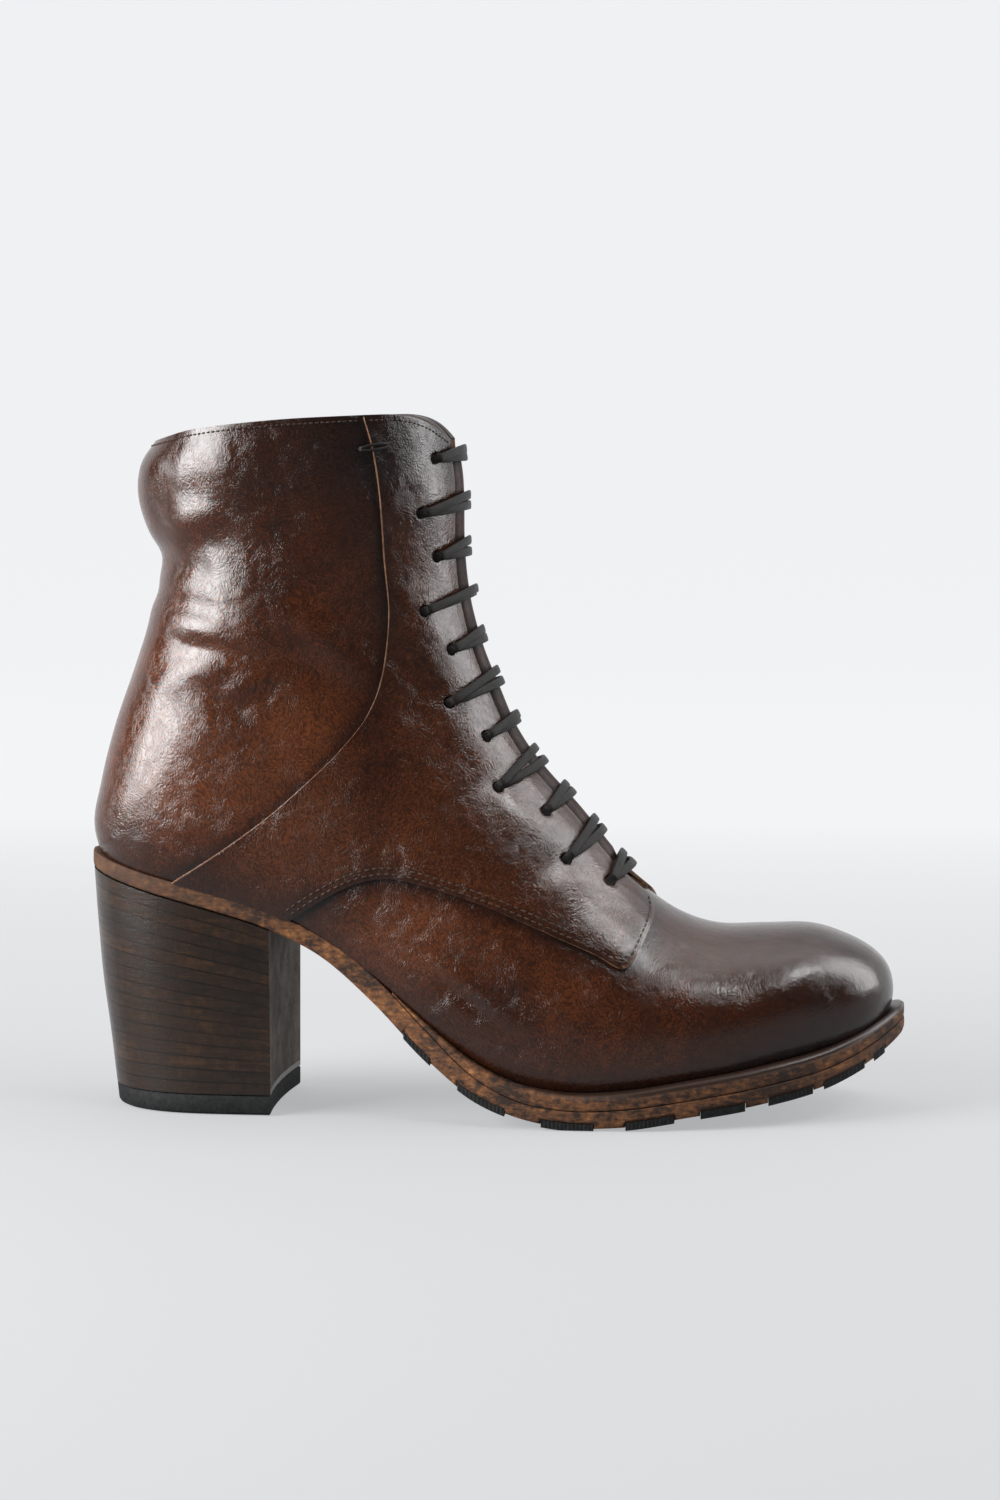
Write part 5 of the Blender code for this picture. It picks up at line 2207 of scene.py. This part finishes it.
@dataclass
class Stitching:
    """Rows of waxed thread along the collar and the lower seam."""

    finishes: Finishes
    last: Last
    collar: CollarLine
    length: float = 1.75
    width: float = 0.62
    height: float = 0.55
    proud: float = 0.1
    pitch: float = 2.35
    offset: float = 1.4
    line_points: int = 160
    # The collar's row: share of the usual stitch, depth below the edge, distances from the rear
    # seam to both sides and from the throat, points along it and a place for its length.
    collar_share: float = 0.72
    collar_drop: float = 1.7
    seam_gaps: Pair = (1.2, 1.5)
    throat_gap: float = 1.5
    collar_points: int = 90
    collar_place: float = 0.95
    # The lower seam's two rows, the second of which stops short of the tab, and the tab's own row.
    insets: Pair = (1.5, 3.3)
    tab_x: float = 41.0
    tab_short: int = 12
    tab_row: tuple = ((32.5, 55.3), (40.5, 51.0))

    def skin(self, made: Object) -> BVHTree:
        """A piece's outer face, to set stitches on."""
        points = [v.co / MM for v in made.data.vertices]
        return BVHTree.FromPolygons(points, [tuple(p.vertices) for p in made.data.polygons])

    def row(self, bm: BMesh, line: Array, skin: BVHTree, close: float = 1.0) -> None:
        """Adds a row of stitches.

        Args:
            bm: The mesh to add to.
            line: Points along the row, on or near the leather.
            skin: The leather's outer face.
            close: The share of the usual stitch length.
        """
        total = np.linalg.norm(np.diff(line, axis=0), axis=1).sum()
        points = resample(line, max(2, round(total / (self.pitch * close)) + 1))
        size = Matrix.Diagonal((self.length * close, self.width, self.height, 1))
        upright = Matrix.Rotation(math.pi / 2, 4, "Y")
        for start, end in zip(points[:-1], points[1:]):
            place, normal, _, _ = skin.find_nearest(Vector((start + end) / 2))
            along = Vector(end - start)
            along = (along - normal * along.dot(normal)).normalized()
            turn = Matrix((along, normal.cross(along), normal)).transposed().to_4x4()
            turn.translation = place + normal * (self.proud * self.height)
            bmesh.ops.create_uvsphere(
                bm, u_segments=6, v_segments=5, radius=0.5, matrix=turn @ size @ upright,
            )

    def inward(self, found: Array, side: Side, inset: float) -> Array:
        """Points beside an edge of the quarter.

        Args:
            found: The edge's places and distances.
            side: Which quarter.
            inset: How far from the edge.

        Returns:
            The points.
        """
        place, distance = resample(found * np.array([STRETCH, 1.0]), self.line_points).T
        angle = self.last.angles(place / STRETCH, distance, side.value)
        edge = self.last.points(place / STRETCH, angle)
        normal = self.last.normals(place / STRETCH, angle)
        across = unit(np.cross(normal, np.gradient(edge, axis=0))) * -side.value
        return edge + across * inset + normal * self.offset

    def below_collar(self, start: float, end: float, offset: float, side: Side) -> Array:
        """Points along the collar.

        Args:
            start: Their first distance from the ridge.
            end: Their last one.
            offset: Their height over the last.
            side: Which side.

        Returns:
            The points.
        """
        spread = np.linspace(start, end, self.collar_points)
        places = self.collar.places(spread, self.collar_points, side.value, self.collar_drop)
        return self.last.surface(places, spread, offset, side.value)

    def build(self, upper: Object, quarters: list[tuple[Quarter, Object]]) -> None:
        """Makes all the stitches.

        Args:
            upper: The upper.
            quarters: Each quarter with its object.
        """
        bm = bmesh.new()
        back = []
        for quarter, made in quarters:
            side, skin = quarter.side, self.skin(made)
            line, found = quarter.lower()
            corner = int(np.argmax(line[:, 0] > self.tab_x)) - self.tab_short
            self.row(bm, self.inward(found, side, self.insets[0])[2:-2], skin)
            self.row(bm, self.inward(found[:corner], side, self.insets[1])[2:], skin)
            tab = np.array([self.last.locate(x, z, side.value) for x, z in self.tab_row])
            self.row(bm, self.last.surface(*tab.T, self.offset, side.value), skin)
            seam = quarter.rear()[1][0, 1]
            start, end = seam - self.seam_gaps[0], quarter.throat.half_gap + self.throat_gap
            front = self.below_collar(start, end, self.offset, side)
            self.row(bm, front, skin, self.collar_share)
            full = self.last.arcs(np.array([self.collar_place]), side.value)[0, -1]
            back.append(self.below_collar(seam + self.seam_gaps[1], full, 0.0, side))
        line = np.vstack([back[0], back[1][::-1]])
        self.row(bm, line, self.skin(upper), self.collar_share)
        piece("seam_stitches", bm, [self.finishes.thread], "lace")


@dataclass
class SeamTie:
    """A short waxed tie that holds the rear seam together under the collar."""

    finishes: Finishes
    last: Last
    ends: tuple = ((-39.9, 205.3), (-31.2, 206.8))
    spread: float = 0.8
    width: float = 1.0
    thickness: float = 0.9
    roundness: float = 0.8
    points: int = 10
    steps: int = 27
    # Heights over the last behind its start, at its end and between, how far it bows out and the
    # share of its length that goes into the leather.
    heights: Triple = (-0.9, 0.6, 1.1)
    bow: float = 0.95
    sunk: float = 0.05

    def path(self, sign: int, side: Side) -> Array:
        """One of the tie's two strands.

        Args:
            sign: -1 for the lower one, 1 for the upper one.
            side: Which side of the boot.

        Returns:
            Its points.
        """
        start, end = (np.array(point) for point in self.ends)
        share = np.linspace(0, 1, self.steps)
        first, last, between = self.heights
        flat = np.where(share > 1 - self.sunk, last, between)
        arch = np.sin(math.pi * share)
        lift = np.where(share < self.sunk, first, flat) + self.bow * arch**0.5
        x, z = start[:, None] + share * (end - start)[:, None]
        z = z + sign * self.spread * arch**0.6
        found = np.array([self.last.locate(px, pz, side.value) for px, pz in zip(x, z)])
        return self.last.surface(*found.T, lift, side.value)

    def build(self) -> None:
        """Makes the tie on both sides of the boot."""
        bm = bmesh.new()
        upright = np.tile([0.0, 0.0, 1.0], (self.steps, 1))
        profile = oval(self.width, self.thickness, self.roundness, self.points)
        for side in Side:
            for sign in (-1, 1):
                sweep(bm, self.path(sign, side), upright, profile)
        piece("seam_tie", bm, [self.finishes.lace], "lace")


def looking(place: Triple, aim: Triple) -> Euler:
    """The turn of a light or a camera that looks from a place at an aim."""
    return (Vector(aim) - Vector(place)).to_track_quat("-Z", "Y").to_euler()


@dataclass(frozen=True)
class SoftBox:
    """A soft light: where it hangs and points, its size in metres and its power in watts."""

    name: str
    place: Triple
    aim: Triple
    size: Pair
    power: float

    def hang(self) -> None:
        """Adds the light to the scene."""
        data = bpy.data.lights.new(self.name, "AREA")
        data.shape = "RECTANGLE"
        data.size, data.size_y = self.size
        data.energy = self.power
        made = bpy.data.objects.new(self.name, data)
        made.location = self.place
        made.rotation_euler = looking(self.place, self.aim)
        bpy.context.scene.collection.objects.link(made)


@dataclass
class Studio:
    """Pale paper, soft lights and the camera."""

    camera_at: Triple = (77.9, -1102.2, 217.7)
    aim: Triple = (0.8, 0.0, 111.3)
    lens: float = 85.25
    sensor: float = 36.0
    clip: Pair = (0.01, 50.0)
    sky: tuple[float, float, float, float] = (0.93, 0.96, 1.0, 1.0)
    sky_strength: float = 0.06
    # The paper in metres: where its floor starts and ends, the bend behind it, how high it goes
    # from there, its half width, and how far it lies under the boot.
    floor: Range = (-3.0, 1.4, 12)
    bend: float = 0.9
    bend_turn: Range = (0.1, math.pi / 2, 14)
    heights: tuple[float, ...] = (1.4, 2.2, 3.0, 4.0)
    half_width: float = 4.5
    columns: int = 16
    drop: float = 0.0002
    under: Triple = (0.0, 0.0, -50.0)
    boxes: tuple[SoftBox, ...] = (
        SoftBox("left box", (-0.80, -0.42, 0.40), (-0.04, 0.0, 0.11), (0.62, 0.72), 25.5),
        SoftBox("right box", (0.80, 0.06, 0.46), (0.02, 0.0, 0.10), (0.50, 0.75), 8.2),
        SoftBox("top box", (0.0, 0.25, 1.60), (0.0, 0.0, 0.0), (2.2, 1.2), 16.0),
        SoftBox("front fill", (0.70, -0.44, 1.10), (0.03, 0.0, 0.06), (0.40, 0.40), 7.0),
    )

    def paper(self) -> None:
        """Makes the floor and the backdrop as one sheet that curves up behind the boot."""
        floor, turn = np.linspace(*self.floor), np.linspace(*self.bend_turn)
        end, high = self.floor[1], len(self.heights)
        curve = end + self.bend * np.sin(turn)
        run = np.concatenate([floor, curve, np.full(high, end + self.bend)])
        curve = self.bend * (1 - np.cos(turn))
        rise = np.concatenate([np.zeros(len(floor)), curve, self.heights]) - self.drop
        x = np.linspace(-self.half_width, self.half_width, self.columns)
        table = np.broadcast_arrays(x, run[:, None], rise[:, None])
        bm = bmesh.new()
        lay(bm, np.stack(table, axis=-1))
        face_out(bm, *self.under)
        for face in bm.faces:
            face.smooth = True
        made = to_object("paper", bm)
        made.data.materials.append(StudioPaper("studio paper").make())

    def camera(self) -> None:
        """Sets up the camera at the photograph's angle."""
        scene = bpy.context.scene
        data = bpy.data.cameras.new("camera")
        data.lens, data.sensor_width, data.sensor_fit = self.lens, self.sensor, "AUTO"
        data.clip_start, data.clip_end = self.clip
        camera = bpy.data.objects.new("camera", data)
        camera.location = Vector(self.camera_at) * MM
        camera.rotation_euler = looking(self.camera_at, self.aim)
        scene.collection.objects.link(camera)
        scene.camera = camera

    def build(self) -> None:
        """Sets up the paper, the lights, the sky and the camera."""
        self.paper()
        for box in self.boxes:
            box.hang()
        world = bpy.data.worlds.new("studio")
        world.use_nodes = True
        sky = world.node_tree.nodes["Background"].inputs
        sky["Color"].default_value, sky["Strength"].default_value = self.sky, self.sky_strength
        bpy.context.scene.world = world
        bpy.context.scene.view_settings.view_transform = "Standard"
        self.camera()


def main() -> None:
    """Builds the boot's pieces in order, then the studio."""
    logging.basicConfig(level=logging.INFO, format="%(name)s %(message)s")
    last = Last()
    collar = CollarLine(last)
    throat = Throat(last)
    burnish = BurnishAndShade(last.sole, collar)
    finishes = Finishes()
    upper = Upper(finishes, last, collar, throat, burnish)
    quarters = [Quarter(finishes, last, collar, throat, burnish, upper, side) for side in Side]
    upper_made = upper.build(quarters[0].rear()[0], quarters[0].lower()[0])
    quarters_made = [(quarter, quarter.build()) for quarter in quarters]
    Tongue(finishes, last, throat).build()
    Insole(finishes, last, upper).build()
    sole = Sole(finishes, last.sole)
    sole.welt()
    sole.outsole()
    sole.tread()
    heel = Heel(finishes, last.sole)
    heel.stack()
    heel.lift()
    Lacing(finishes, last, throat).build()
    Stitching(finishes, last, collar).build(upper_made, quarters_made)
    SeamTie(finishes, last).build()
    Studio().build()
    bpy.context.view_layer.update()


if __name__ == "__main__":
    main()
